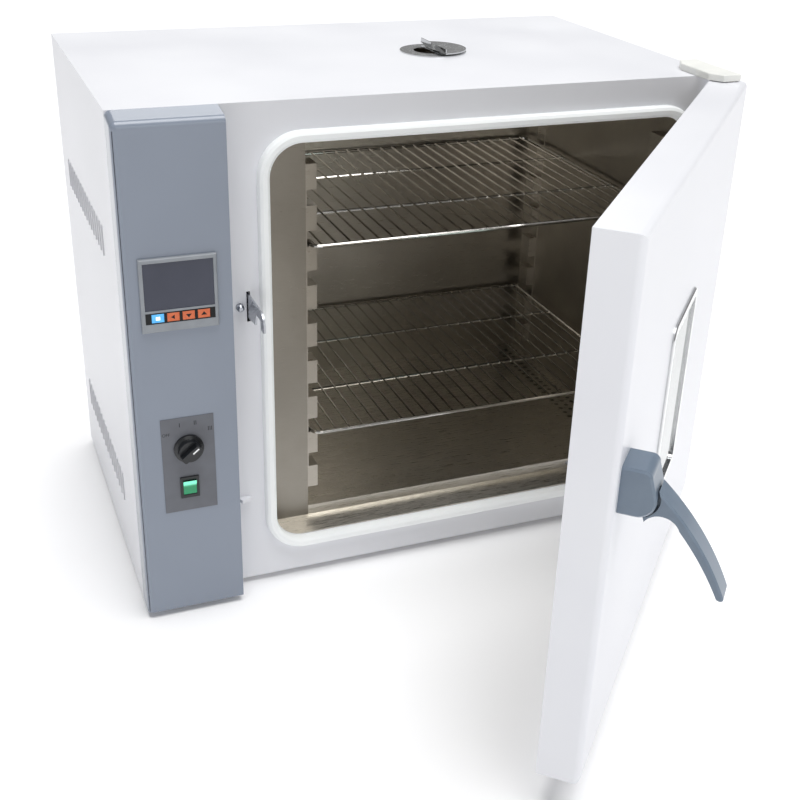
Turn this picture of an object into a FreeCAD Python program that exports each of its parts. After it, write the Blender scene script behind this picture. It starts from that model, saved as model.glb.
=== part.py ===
import FreeCAD, Part

import math
import os

import Sketcher
from FreeCAD import Placement, Rotation, Vector

# Forced-air drying oven, in millimetres. The origin is on the table under the middle of the
# cabinet, +Z is up and the front faces -Y. It stands as found: the door 47 degrees open, both
# shelves in, the fan switch on its third speed.

SIZES = {
    # cabinet
    "cabinet_width": 850,
    "cabinet_height": 690,
    "sheet": 1.5,
    "tray_height": 47,
    "top_lip": 48.4,
    "foot_height": 10,
    "foot_radius": 15,
    "foot_inset": 55,
    "seam": 0.3,
    # louvres of the left side
    "louvre_pitch": 21.3,
    "louvre_count": 16,
    "louvre_slot": 3,
    "louvre_hood": 1.5,
    "louvre_hood_length": 9,
    "upper_louvre_start": 103,
    "upper_louvre_level": 476,
    "upper_louvre_height": 41,
    "lower_louvre_start": 112,
    "lower_louvre_level": 96,
    "lower_louvre_height": 46,
    # control facia
    "facia_width": 134.5,
    "facia_depth": 39,
    "facia_wall": 2,
    "facia_shoulder": 9,
    "facia_crest_drop": 5,
    "facia_edge_radius": 8,
    # machine bay and insulation
    "bay_width": 172,
    "bay_sheet": 1,
    "gland_radius": 10,
    "gland_across": 55,
    "gland_level": 77,
    # chamber
    "chamber_left": 195,
    "chamber_right_gap": 44,
    "chamber_low_gap": 56,
    "chamber_top_gap": 53,
    "chamber_back_gap": 31,
    "liner": 1,
    "mouth_radius": 42,
    "mouth_margin": 0.5,
    "duct_depth": 58,
    "duct_setback": 35,
    "sill_rise": 9,
    "floor_height": 24,
    # gasket
    "gasket_width": 16,
    "gasket_height": 12,
    # shelf racks
    "rack_projection": 15,
    "rack_depth": 29,
    "rack_web": 1.5,
    "rack_back_gap": 31,
    "tooth_height": 34.7,
    "tooth_count": 9,
    "first_ledge": 147.9,
    "rack_top_gap": 38.5,
    # shelves
    "shelf_depth": 442,
    "shelf_gap": 3,
    "shelf_right_gap": 7,
    "shelf_setback": 21,
    "shelf_back_gap": 5,
    "shelf_corner": 14,
    "shelf_frame_radius": 2.5,
    "shelf_wire_radius": 1.5,
    "shelf_wire_count": 26,
    "shelf_cross_one": 137,
    "shelf_cross_two": 303,
    "shelf_clearance": 0.3,
    "upper_ledge": 7,
    "lower_ledge": 2,
    # floor perforations
    "hole_radius": 4.5,
    "hole_rows": 22,
    "hole_column_pitch": 15.2,
    "hole_side_margin": 42,
    "hole_start": 100,
    "hole_back_margin": 24,
    # slots of the duct plate
    "duct_slot_length": 220,
    "duct_slot_height": 8,
    "duct_slot_pitch": 22,
    "duct_slot_count": 6,
    # door
    "door_start": 140,
    "door_thickness": 50,
    "door_low_gap": 45,
    "door_top_gap": 1,
    "door_front_gap": 12.3,
    "door_skin": 1.2,
    "door_edge_radius": 8,
    "hinge_edge": 9,
    "hinge_side_gap": 12,
    "hinge_depth": 24,
    "door_open_angle": 47,
    "pin_radius": 5,
    "pin_clearance": 0.05,
    "bush_radius": 7.5,
    "bush_length": 20,
    "hinge_plate": 3,
    "hinge_gap": 4,
    "bracket_width": 24,
    "bracket_hold": 42,
    "cap_height": 9.5,
    "cap_wall": 1.7,
    "cap_reach": 27,
    "cap_overhang": 1,
    "cap_back": 62,
    "cap_taper": 12,
    # window
    "window_width": 165,
    "window_height": 255,
    "window_low": 235,
    "window_offset": 1,
    "window_radius": 20,
    "window_trim": 12,
    "window_trim_height": 3,
    "window_sleeve": 1.5,
    "glass": 4,
    # latch
    "latch_inset": 24.5,
    "slot_width": 10,
    "slot_low": 403,
    "slot_high": 445.5,
    "keeper_thickness": 2.5,
    "keeper_reach": 79,
    "keeper_top": 442.5,
    "keeper_root": 407,
    "keeper_bar": 430,
    "keeper_finger": 15,
    "keeper_finger_low": 418,
    "keeper_throat": 36,
    "keeper_tail": 28,
    "keeper_taper": 6,
    "keeper_nose_radius": 17,
    # door handle
    "handle_inset": 17,
    "handle_width": 45,
    "handle_high": 446,
    "handle_front": 31.5,
    "handle_wall": 2.5,
    "pivot_out": 18,
    "pivot_level": 412,
    "nose_radius": 20,
    "nose_angle": 16,
    "handle_top_radius": 8.5,
    "handle_edge": 2.5,
    "claw_room_start": 23,
    "web_width": 12,
    "web_clearance": 0.4,
    "web_slot_back": 4,
    "web_slot_top": 8,
    # lever, whose places are measured from its axle
    "lever_width": 30,
    "lever_out": 97.5,
    "lever_drop": 96,
    "lever_thickness": 7,
    "lever_tip_angle": 30,
    "lever_outer_radius": 300,
    "lever_inner_radius": 320,
    "lever_edge": 2,
    "neck_out": 45,
    "neck_drop": 29,
    "underside_radius": 20,
    "head_radius": 23,
    "head_angle": 10,
    "crown_radius": 22.6,
    "crown_angle": 27,
    "wing_angle": 71,
    "wing_thickness": 5,
    "web_low_angle": 48,
    "hub_radius": 7,
    "hub_left": 11.5,
    "hub_right": 11.5,
    "arm_width": 6,
    "cam_overhang": 4,
    "axle_radius": 2.5,
    "cam_radius": 4,
    "cam_arm": 23.8,
    "cam_angle": 189.8,
    # door switch and rest
    "plunger_across": 152.8,
    "plunger_level": 425,
    "plunger_radius": 5,
    "plunger_reach": 8,
    "plunger_stroke": 6,
    "rest_across": 141,
    "rest_level": 138,
    "rest_height": 5,
    "rest_width": 17.5,
    "rest_nose": 3.5,
    "rest_reach": 11,
    # controller
    "controller_start": 19.5,
    "controller_low": 422.5,
    "controller_side": 96,
    "controller_proud": 5,
    "controller_body": 90,
    "controller_length": 70,
    "screen_margin": 4.5,
    "screen_low": 28.9,
    "screen_height": 61.8,
    "key_width": 15.2,
    "key_height": 11,
    "key_pitch": 19.1,
    "key_low": 13.5,
    "key_start": 12.1,
    "key_clearance": 0.3,
    "key_proud": 0.6,
    "key_travel": 0.8,
    # fan switch and mains switch
    "plate_start": 33.3,
    "plate_low": 157.4,
    "plate_width": 69.7,
    "plate_height": 140.3,
    "plate_thickness": 1,
    "knob_across": 68.3,
    "knob_level": 252,
    "knob_radius": 19.7,
    "knob_height": 20.5,
    "knob_gap": 0.4,
    "shaft_radius": 3,
    "dial_angle": 51,
    "rocker_start": 54.5,
    "rocker_low": 177.8,
    "rocker_frame_width": 25,
    "rocker_frame_height": 31.3,
    "rocker_width": 17.4,
    "rocker_height": 20.8,
    "rocker_clearance": 0.3,
    "rocker_rim": 3,
    "rocker_frame_proud": 2,
    "rocker_body": 22,
    "rocker_proud": 2.4,
    "rocker_tilt": 0.4,
    "rocker_swing": 0.8,
    "rocker_pivot_depth": 1.5,
    "rocker_pin_radius": 0.9,
    "rocker_pin_length": 1.2,
    "rocker_back": 4,
    # vent
    "vent_across": 516.5,
    "vent_back": 246,
    "vent_radius": 49,
    "vent_plate": 1.5,
    "vent_pipe_radius": 30,
    "vent_opening": 24,
    "vent_web": 5,
    "vent_gap": 2.5,
    "vent_lip": 7,
    # fan and heaters
    "fan_radius": 80,
    "fan_depth": 38,
    "fan_across_back": 250,
    "fan_level": 330,
    "fan_shaft_radius": 4,
    "motor_radius": 42,
    "motor_length": 80,
    "blade_count": 24,
    "fan_side_gap": 8,
    "motor_foot": 6,
    "heater_radius": 4,
    "heater_level": 68,
    "heater_tail": 35,
    "heater_end_gap": 60,
    "probe_radius": 2.5,
    "probe_length": 60,
    "probe_back": 275,
    "probe_drop": 40,
}


class Size:
    """A number together with the sheet formula that gives it."""

    def __init__(self, number, formula):
        self.number = float(number)
        self.formula = formula

    def __add__(self, other):
        other = size(other)
        return Size(self.number + other.number, f"({self.formula} + {other.formula})")

    def __sub__(self, other):
        other = size(other)
        return Size(self.number - other.number, f"({self.formula} - {other.formula})")

    def __mul__(self, other):
        other = size(other)
        return Size(self.number * other.number, f"({self.formula} * {other.formula})")

    def __truediv__(self, other):
        other = size(other)
        return Size(self.number / other.number, f"({self.formula} / {other.formula})")

    def __neg__(self):
        return Size(-self.number, f"(0 - {self.formula})")

    def __radd__(self, other):
        return size(other) + self

    def __rsub__(self, other):
        return size(other) - self

    def __rmul__(self, other):
        return size(other) * self


def size(value):
    return value if isinstance(value, Size) else Size(value, repr(float(value)))


def sine(angle):
    return Size(math.sin(math.radians(angle.number)), f"sin({angle.formula})")


def cosine(angle):
    return Size(math.cos(math.radians(angle.number)), f"cos({angle.formula})")


class Sheet:
    """The driving sizes, read as attributes."""

    def __init__(self, document, values):
        self.cells = document.addObject("Spreadsheet::Sheet", "sizes")
        for row, (name, value) in enumerate(values.items(), start=1):
            self.cells.set(f"A{row}", name)
            self.cells.set(f"B{row}", str(value))
            self.cells.setAlias(f"B{row}", name)
            setattr(self, name, Size(value, f"sizes.{name}"))


doc = FreeCAD.newDocument("drying_oven")
S = Sheet(doc, SIZES)
doc.recompute()
SUBPARTS = []

# Faces of the cabinet, and levels measured up from its underside
LEFT = -S.cabinet_width / 2
RIGHT = S.cabinet_width / 2
CHAMBER_DEPTH = S.shelf_setback + S.shelf_depth + S.shelf_back_gap + S.liner
CABINET_DEPTH = CHAMBER_DEPTH + S.chamber_back_gap
FRONT = -CABINET_DEPTH / 2
BACK = CABINET_DEPTH / 2
BOTTOM = S.foot_height + 0
TOP = BOTTOM + S.cabinet_height
TRAY_TOP = BOTTOM + S.tray_height
FACIA_FRONT = FRONT - S.facia_depth

# Outside of the chamber liner
CHAMBER_LEFT = LEFT + S.chamber_left
CHAMBER_RIGHT = RIGHT - S.chamber_right_gap
CHAMBER_LOW = BOTTOM + S.chamber_low_gap
CHAMBER_TOP = TOP - S.chamber_top_gap
CHAMBER_BACK = BACK - S.chamber_back_gap

# Mouth of the chamber in the front frame, which the gasket follows
MOUTH_X = (CHAMBER_LEFT + S.mouth_margin, CHAMBER_RIGHT - S.mouth_margin)
MOUTH_Z = (CHAMBER_LOW + S.mouth_margin, CHAMBER_TOP - S.mouth_margin)

# Inner faces of the chamber: duct plate, right wall, back wall, raised floor
DUCT_FACE = CHAMBER_LEFT + S.duct_depth + S.liner
WALL_RIGHT = CHAMBER_RIGHT - S.liner
WALL_BACK = CHAMBER_BACK - S.liner
FLOOR_TOP = CHAMBER_LOW + S.floor_height + S.liner
DUCT_FRONT = FRONT + S.duct_setback

# Ledges of the racks, and the rows of holes in the floor
FIRST_LEDGE = BOTTOM + S.first_ledge
RACK_TOP = CHAMBER_TOP - S.liner - S.rack_top_gap
TOOTH_PITCH = (RACK_TOP - FIRST_LEDGE) / (S.tooth_count - 1)
HOLE_RUN = WALL_BACK - S.hole_back_margin - FRONT - S.hole_start
HOLE_PITCH = HOLE_RUN / (S.hole_rows - 0.5)

# Hinge axis of the door, which is also the origin of all door coordinates
HINGE_X = RIGHT - S.hinge_side_gap
HINGE_Y = FRONT - S.door_front_gap - S.hinge_depth
DOOR_LOW = BOTTOM + S.door_low_gap
DOOR_TOP = TOP - S.door_top_gap
DOOR_INNER = S.hinge_depth + 0
DOOR_OUTER = S.hinge_depth - S.door_thickness
DOOR_RIGHT = S.hinge_edge + 0
DOOR_LEFT = LEFT + S.door_start - HINGE_X

# Places that several pieces share
VENT_X = LEFT + S.vent_across
VENT_Y = FRONT + S.vent_back
BAY_X = LEFT + S.bay_width
FAN_Y = FRONT + S.fan_across_back
FAN_Z = BOTTOM + S.fan_level
GLAND_X = LEFT + S.gland_across
GLAND_Z = BOTTOM + S.gland_level
HEATER_Z = BOTTOM + S.heater_level
HEATER_WAYS = [FRONT + CABINET_DEPTH * share for share in (0.25, 0.45, 0.55, 0.75)]
DUCT_LOW = CHAMBER_LOW + S.liner + S.sill_rise
KEEPER_X = LEFT + S.door_start + S.latch_inset
PLUNGER_X = LEFT + S.plunger_across
PLUNGER_Z = BOTTOM + S.plunger_level
PLATE_FRONT = FACIA_FRONT - S.plate_thickness
KNOB_X = LEFT + S.knob_across
KNOB_Z = BOTTOM + S.knob_level


def centred(middle, length):
    return (middle - length / 2, middle + length / 2)


CONTROLLER_HOLE_X = centred(LEFT + S.controller_start + S.controller_side / 2, S.controller_body)
CONTROLLER_HOLE_Z = centred(BOTTOM + S.controller_low + S.controller_side / 2, S.controller_body)
ROCKER_MIDDLE_X = LEFT + S.rocker_start + S.rocker_frame_width / 2
ROCKER_MIDDLE_Z = BOTTOM + S.rocker_low + S.rocker_frame_height / 2
ROCKER_BODY_X = centred(ROCKER_MIDDLE_X, S.rocker_frame_width - S.rocker_rim)
ROCKER_BODY_Z = centred(ROCKER_MIDDLE_Z, S.rocker_frame_height - S.rocker_rim)


def bind(feature, prop, value):
    """Sets a property and ties it to the sheet."""
    value = size(value)
    setattr(feature, prop, value.number)
    feature.setExpression(prop, value.formula)


def move(feature, x, y, z, rotation=Rotation()):
    """Places a feature at a point given by sizes."""
    point = [size(value) for value in (x, y, z)]
    feature.Placement = Placement(Vector(*[value.number for value in point]), rotation)
    for letter, value in zip("xyz", point):
        feature.setExpression(f"Placement.Base.{letter}", value.formula)


def new_body(label):
    body = doc.addObject("PartDesign::Body", label)
    body.Label = label
    SUBPARTS.append(body)
    return body


def new_door_body(label):
    """A body in door coordinates: from the hinge axis, x back along the closed door, z up."""
    body = new_body(label)
    turn = f"rotation(vector(0; 0; 1); {S.door_open_angle.formula})"
    place = f"vector({HINGE_X.formula}; {HINGE_Y.formula}; 0)"
    body.setExpression("Placement", f"placement({place}; {turn})")
    return body


def box(body, name, x, y, z, kind="Additive"):
    """A block between pairs of sizes, added to the body or cut from it."""
    feature = body.newObject(f"PartDesign::{kind}Box", name)
    bind(feature, "Length", x[1] - x[0])
    bind(feature, "Width", y[1] - y[0])
    bind(feature, "Height", z[1] - z[0])
    move(feature, x[0], y[0], z[0])
    return feature


def cut_box(body, name, x, y, z):
    return box(body, name, x, y, z, "Subtractive")


TURN_TO = {
    "x": Rotation(Vector(0, 1, 0), 90),
    "y": Rotation(Vector(1, 0, 0), -90),
    "z": Rotation(),
}


def rod(body, name, start, axis, radius, length, kind="Additive"):
    """A cylinder from a point along +x, +y or +z, added to the body or cut from it."""
    feature = body.newObject(f"PartDesign::{kind}Cylinder", name)
    bind(feature, "Radius", radius)
    bind(feature, "Height", length)
    move(feature, *start, TURN_TO[axis])
    return feature


def cut_rod(body, name, start, axis, radius, length):
    return rod(body, name, start, axis, radius, length, "Subtractive")


def bar(body, name, start, axis, radius, length, sides, kind="Additive"):
    """A straight bar with flat sides from a point along +x, +y or +z. The radius is that of its
    corners."""
    feature = body.newObject(f"PartDesign::{kind}Prism", name)
    bind(feature, "Circumradius", radius)
    bind(feature, "Height", length)
    feature.Polygon = sides
    move(feature, *start, TURN_TO[axis])
    return feature


def new_sketch(body, name, plane, level):
    """A sketch parallel to an origin plane of its body, at a level along +X, +Y or +Z."""
    sketch = body.newObject("Sketcher::SketchObject", name)
    role = {"XY": "XY_Plane", "XZ": "XZ_Plane", "YZ": "YZ_Plane"}[plane]
    support = next(item for item in body.Origin.OriginFeatures if item.Role == role)
    sketch.AttachmentSupport = (support, [""])
    sketch.MapMode = "FlatFace"
    level = size(-level if plane == "XZ" else level)
    sketch.AttachmentOffset = Placement(Vector(0, 0, level.number), Rotation())
    sketch.setExpression("AttachmentOffset.Base.z", level.formula)
    return sketch


def pin_point(sketch, index, position, across, up):
    """Ties one point of the sketch to its two sizes."""
    for kind, value in (("DistanceX", size(across)), ("DistanceY", size(up))):
        number = sketch.addConstraint(Sketcher.Constraint(kind, -1, 1, index, position, value.number))
        sketch.setExpression(f"Constraints[{number}]", value.formula)


def pin_radius(sketch, index, radius):
    number = sketch.addConstraint(Sketcher.Constraint("Radius", index, size(radius).number))
    sketch.setExpression(f"Constraints[{number}]", size(radius).formula)


def arc_between(start, end, radius, left):
    """The short arc from start to end whose centre is on the left or on the right."""
    half = (end - start) * 0.5
    across = Vector(-half.y, half.x, 0)
    rise = math.sqrt(max(radius * radius - half.Length * half.Length, 0.0)) / half.Length
    centre = start + half + across * (rise if left else -rise)
    circle = Part.Circle(centre, Vector(0, 0, 1), radius)
    first, last = (start, end) if left else (end, start)
    angles = [math.atan2(point.y - centre.y, point.x - centre.x) for point in (first, last)]
    return Part.ArcOfCircle(circle, *angles)


def outline(sketch, points, arcs=None, closed=True):
    """An outline through points, closed or open. arcs gives the radius of the side that leaves a
    point, positive where the side turns left."""
    arcs = arcs or {}
    corners = [Vector(size(a).number, size(b).number, 0) for a, b in points]
    sides = len(points) if closed else len(points) - 1
    ends = []
    for i, corner in enumerate(corners[:sides]):
        following = corners[(i + 1) % len(corners)]
        if i in arcs:
            radius = size(arcs[i])
            left = radius.number > 0
            radius = radius if left else -radius
            sketch.addGeometry(arc_between(corner, following, radius.number, left), False)
            pin_radius(sketch, i, radius)
            ends.append((1, 2) if left else (2, 1))
        else:
            sketch.addGeometry(Part.LineSegment(corner, following), False)
            ends.append((1, 2))
    for i, (across, up) in enumerate(points):
        before = (i - 1) % len(points)
        if i < sides:
            pin_point(sketch, i, ends[i][0], across, up)
        else:
            pin_point(sketch, before, ends[before][1], across, up)
        if closed or 0 < i < sides:
            joined = (before, ends[before][1], i, ends[i][0])
            sketch.addConstraint(Sketcher.Constraint("Coincident", *joined))
    return sketch


def rounded(across, up, radius):
    """Points and arcs of a rectangle with rounded corners."""
    (a0, a1), (b0, b1) = across, up
    points = [
        (a0 + radius, b0), (a1 - radius, b0), (a1, b0 + radius), (a1, b1 - radius),
        (a1 - radius, b1), (a0 + radius, b1), (a0, b1 - radius), (a0, b0 + radius),
    ]
    return points, {1: radius, 3: radius, 5: radius, 7: radius}


def octagon(across, up, radius):
    """Points of a wire drawn with eight flats, each at the radius."""
    half = radius * math.tan(math.pi / 8)
    return [
        (across + radius, up - half), (across + radius, up + half), (across + half, up + radius),
        (across - half, up + radius), (across - radius, up + half), (across - radius, up - half),
        (across - half, up - radius), (across + half, up - radius),
    ]


def circle(sketch, index, across, up, radius):
    centre = Vector(size(across).number, size(up).number, 0)
    sketch.addGeometry(Part.Circle(centre, Vector(0, 0, 1), size(radius).number), False)
    pin_point(sketch, index, 3, across, up)
    pin_radius(sketch, index, radius)
    return sketch


def extrude(body, kind, name, sketch, length, back=False):
    """A Pad or a Pocket. back turns it towards the negative side of the sketch."""
    feature = body.newObject(f"PartDesign::{kind}", name)
    feature.Profile = sketch
    bind(feature, "Length", length)
    feature.Reversed = back
    return feature


def pad(body, name, sketch, length, back=False):
    return extrude(body, "Pad", name, sketch, length, back)


def pocket(body, name, sketch, length, back=False):
    return extrude(body, "Pocket", name, sketch, length, back)


def revolve(body, name, sketch, axis):
    """A full turn of a sketch about its own horizontal or vertical axis."""
    feature = body.newObject("PartDesign::Revolution", name)
    feature.Profile = sketch
    feature.ReferenceAxis = (sketch, [axis])
    feature.Angle = 360
    return feature


def sweep(body, name, profile, path):
    """A profile carried along a path."""
    feature = body.newObject("PartDesign::AdditivePipe", name)
    feature.Profile = profile
    feature.Spine = (path, [f"Edge{i + 1}" for i in range(path.GeometryCount)])
    return feature


def axis_of(body, letter):
    return next(item for item in body.Origin.OriginFeatures if item.Role == f"{letter}_Axis")


def row(body, name, features, letter, pitch, count):
    """Copies of features in a straight row."""
    pattern = body.newObject("PartDesign::LinearPattern", name)
    pattern.Originals = features
    pattern.Direction = (axis_of(body, letter), [""])
    bind(pattern, "Length", pitch * (count - 1))
    pattern.Occurrences = int(round(size(count).number))
    pattern.setExpression("Occurrences", size(count).formula)
    body.Tip = pattern
    return pattern


def edges_where(shape, test):
    """Names of the edges whose middle and direction pass a test."""
    names = []
    for number, edge in enumerate(shape.Edges, start=1):
        if not edge.Vertexes or len(edge.Vertexes) < 2:
            continue
        run = edge.Vertexes[-1].Point - edge.Vertexes[0].Point
        if run.Length > 0 and test(edge.CenterOfMass, run.normalize(), edge):
            names.append(f"Edge{number}")
    return names


def dress(body, kind, name, base, amount, test):
    """A Fillet or Chamfer on the edges of a feature that pass a test."""
    doc.recompute()
    edges = edges_where(base.Shape, test)
    feature = body.newObject(f"PartDesign::{kind}", name)
    feature.Base = (base, edges)
    bind(feature, "Radius" if kind == "Fillet" else "Size", amount)
    return feature


def near(value, target):
    return abs(value - size(target).number) < 0.01


# Cabinet

def make_base_tray():
    body = new_body("base_tray")
    box(body, "Pan", (LEFT, RIGHT), (FRONT, BACK), (BOTTOM, TRAY_TOP))
    inside_x = (LEFT + S.sheet, RIGHT - S.sheet)
    inside_y = (FRONT + S.sheet, BACK - S.sheet)
    cut_box(body, "Inside", inside_x, inside_y, (BOTTOM + S.sheet, TRAY_TOP))


def make_top_cover():
    body = new_body("top_cover")
    box(body, "Sheet", (LEFT, RIGHT), (FRONT, BACK), (TOP - S.sheet, TOP))
    box(body, "FrontLip", (LEFT, RIGHT), (FRONT, FRONT + S.sheet), (TOP - S.top_lip, TOP))
    box(body, "RearLip", (LEFT, RIGHT), (BACK - S.sheet, BACK), (TOP - S.tray_height, TOP))
    cut_rod(body, "VentHole", (VENT_X, VENT_Y, TOP - S.sheet), "z", S.vent_pipe_radius, S.sheet)


def make_right_side_panel():
    body = new_body("right_side_panel")
    depth = (FRONT + S.sheet, BACK - S.sheet)
    box(body, "Sheet", (RIGHT - S.sheet, RIGHT), depth, (TRAY_TOP, TOP - S.sheet))


def make_left_side_panel():
    """The panel that covers the machine bay, with two rows of pressed louvres."""
    body = new_body("left_side_panel")
    depth = (FRONT + S.sheet, BACK - S.sheet)
    box(body, "Sheet", (LEFT, LEFT + S.sheet), depth, (TRAY_TOP, TOP - S.sheet))
    rows = {
        "Upper": (S.upper_louvre_start, S.upper_louvre_level, S.upper_louvre_height),
        "Lower": (S.lower_louvre_start, S.lower_louvre_level, S.lower_louvre_height),
    }
    for name, (start, level, height) in rows.items():
        y = FRONT + start
        hood = new_sketch(body, f"{name}HoodOutline", "XY", BOTTOM + level)
        outline(hood, [(LEFT, y), (LEFT, y + S.louvre_hood_length), (LEFT - S.louvre_hood, y)])
        wedge = pad(body, f"{name}Hood", hood, height)
        slot = cut_box(
            body, f"{name}Slot", (LEFT, LEFT + S.sheet), (y - S.louvre_slot, y),
            (BOTTOM + level, BOTTOM + level + height),
        )
        row(body, f"{name}Row", [wedge, slot], "Y", S.louvre_pitch, S.louvre_count)


def make_back_panel():
    body = new_body("back_panel")
    box(body, "Sheet", (LEFT, RIGHT), (BACK - S.sheet, BACK), (TRAY_TOP, TOP - S.tray_height))
    cut_rod(body, "GlandHole", (GLAND_X, BACK - S.sheet, GLAND_Z), "y", S.gland_radius, S.sheet)


def make_front_frame():
    body = new_body("front_frame")
    depth = (FRONT, FRONT + S.sheet)
    box(body, "Sheet", (LEFT, RIGHT), depth, (TRAY_TOP, TOP - S.top_lip))
    mouth = new_sketch(body, "MouthOutline", "XZ", FRONT)
    outline(mouth, *rounded(MOUTH_X, MOUTH_Z, S.mouth_radius))
    pocket(body, "Mouth", mouth, S.sheet)
    window_x = (LEFT + S.plate_start, LEFT + S.plate_start + S.plate_width)
    window_z = (BOTTOM + S.plate_low, BOTTOM + S.plate_low + S.plate_height)
    cut_box(body, "SwitchWindow", window_x, depth, window_z)
    cut_box(body, "ControllerWindow", CONTROLLER_HOLE_X, depth, CONTROLLER_HOLE_Z)
    slot_x = (KEEPER_X - S.keeper_thickness, KEEPER_X + S.keeper_thickness)
    cut_box(body, "KeeperSlot", slot_x, depth, (BOTTOM + S.slot_low, BOTTOM + S.slot_high))
    hole = S.plunger_radius + S.seam
    cut_rod(body, "PlungerHole", (PLUNGER_X, FRONT, PLUNGER_Z), "y", hole, S.sheet)


def make_feet():
    body = new_body("feet")
    body.AllowCompound = True
    for side, x in (("Left", LEFT + S.foot_inset), ("Right", RIGHT - S.foot_inset)):
        for end, y in (("Front", FRONT + S.foot_inset), ("Rear", BACK - S.foot_inset)):
            rod(body, f"{end}{side}", (x, y, size(0)), "z", S.foot_radius, S.foot_height)


def cut_heater_ways(body, x, length):
    """The four holes that the ends of the heating elements pass."""
    for number, way in enumerate(HEATER_WAYS):
        cut_rod(body, f"HeaterWay{number}", (x, way, HEATER_Z), "x", S.heater_radius, length)


def make_bay_wall():
    """The sheet between the machine bay and the insulation, which carries motor and keeper."""
    body = new_body("bay_wall")
    x = (BAY_X, BAY_X + S.bay_sheet)
    depth = (FRONT + S.sheet, BACK - S.sheet)
    box(body, "Sheet", x, depth, (BOTTOM + S.sheet, TOP - S.sheet))
    cut_rod(body, "ShaftHole", (BAY_X, FAN_Y, FAN_Z), "x", S.fan_shaft_radius * 2, S.bay_sheet)
    cut_heater_ways(body, BAY_X, S.bay_sheet)


def make_insulation():
    """Mineral wool round the chamber, with ways for fan shaft, vent pipe and heaters."""
    body = new_body("insulation")
    wool_x = (BAY_X + S.bay_sheet, RIGHT - S.sheet)
    wool_y = (FRONT + S.sheet, BACK - S.sheet)
    box(body, "Wool", wool_x, wool_y, (BOTTOM + S.sheet, TOP - S.sheet))
    chamber_y = (FRONT + S.sheet, CHAMBER_BACK)
    cut_box(body, "Chamber", (CHAMBER_LEFT, CHAMBER_RIGHT), chamber_y, (CHAMBER_LOW, CHAMBER_TOP))
    cut_heater_ways(body, BAY_X, CHAMBER_LEFT - BAY_X)
    cut_rod(body, "ShaftWay", (BAY_X, FAN_Y, FAN_Z), "x", S.fan_shaft_radius * 2, CHAMBER_LEFT - BAY_X)
    cut_rod(body, "PipeWay", (VENT_X, VENT_Y, CHAMBER_TOP), "z", S.vent_pipe_radius, S.chamber_top_gap)


def make_cable_gland():
    body = new_body("cable_gland")
    start = (GLAND_X, BACK - S.sheet - S.gland_radius, GLAND_Z)
    length = S.gland_radius * 2 + S.sheet
    rod(body, "Barrel", start, "y", S.gland_radius, length)
    bar(body, "Nut", (GLAND_X, BACK, GLAND_Z), "y", S.gland_radius * 1.4, S.gland_radius * 0.5, 6)
    cut_rod(body, "CableWay", start, "y", S.gland_radius * 0.5, length)


# Control column

def make_control_facia():
    """A moulded cover, open at the back, whose top slopes to a rounded crest."""
    body = new_body("control_facia")
    side = new_sketch(body, "SideOutline", "YZ", LEFT)
    shoulder = S.facia_shoulder
    crest = (FACIA_FRONT + shoulder, TOP - S.facia_crest_drop)
    below_crest = (FACIA_FRONT, crest[1] - shoulder)
    points = [(FRONT, BOTTOM), (FRONT, TOP), crest, below_crest, (FACIA_FRONT, BOTTOM)]
    outline(side, points, {2: shoulder})
    cover = pad(body, "Cover", side, S.facia_width)

    def left_front(middle, _run, _edge):
        return near(middle.x, LEFT) and middle.z > BOTTOM.number + 1 and middle.y < FRONT.number - 1

    rounded_cover = dress(body, "Fillet", "LeftEdge", cover, S.facia_edge_radius, left_front)
    body.Tip = rounded_cover
    wall = S.facia_wall
    inside_x = (LEFT + wall, LEFT + S.facia_width - wall)
    inside_z = (BOTTOM + wall, TOP - S.facia_crest_drop - shoulder - wall)
    cut_box(body, "Inside", inside_x, (FACIA_FRONT + wall, FRONT), inside_z)
    front_wall = (FACIA_FRONT, FACIA_FRONT + wall)
    cut_box(body, "ControllerHole", CONTROLLER_HOLE_X, front_wall, CONTROLLER_HOLE_Z)
    cut_rod(body, "ShaftHole", (KNOB_X, FACIA_FRONT, KNOB_Z), "y", S.shaft_radius * 2, wall)
    cut_box(body, "RockerHole", ROCKER_BODY_X, front_wall, ROCKER_BODY_Z)


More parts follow.
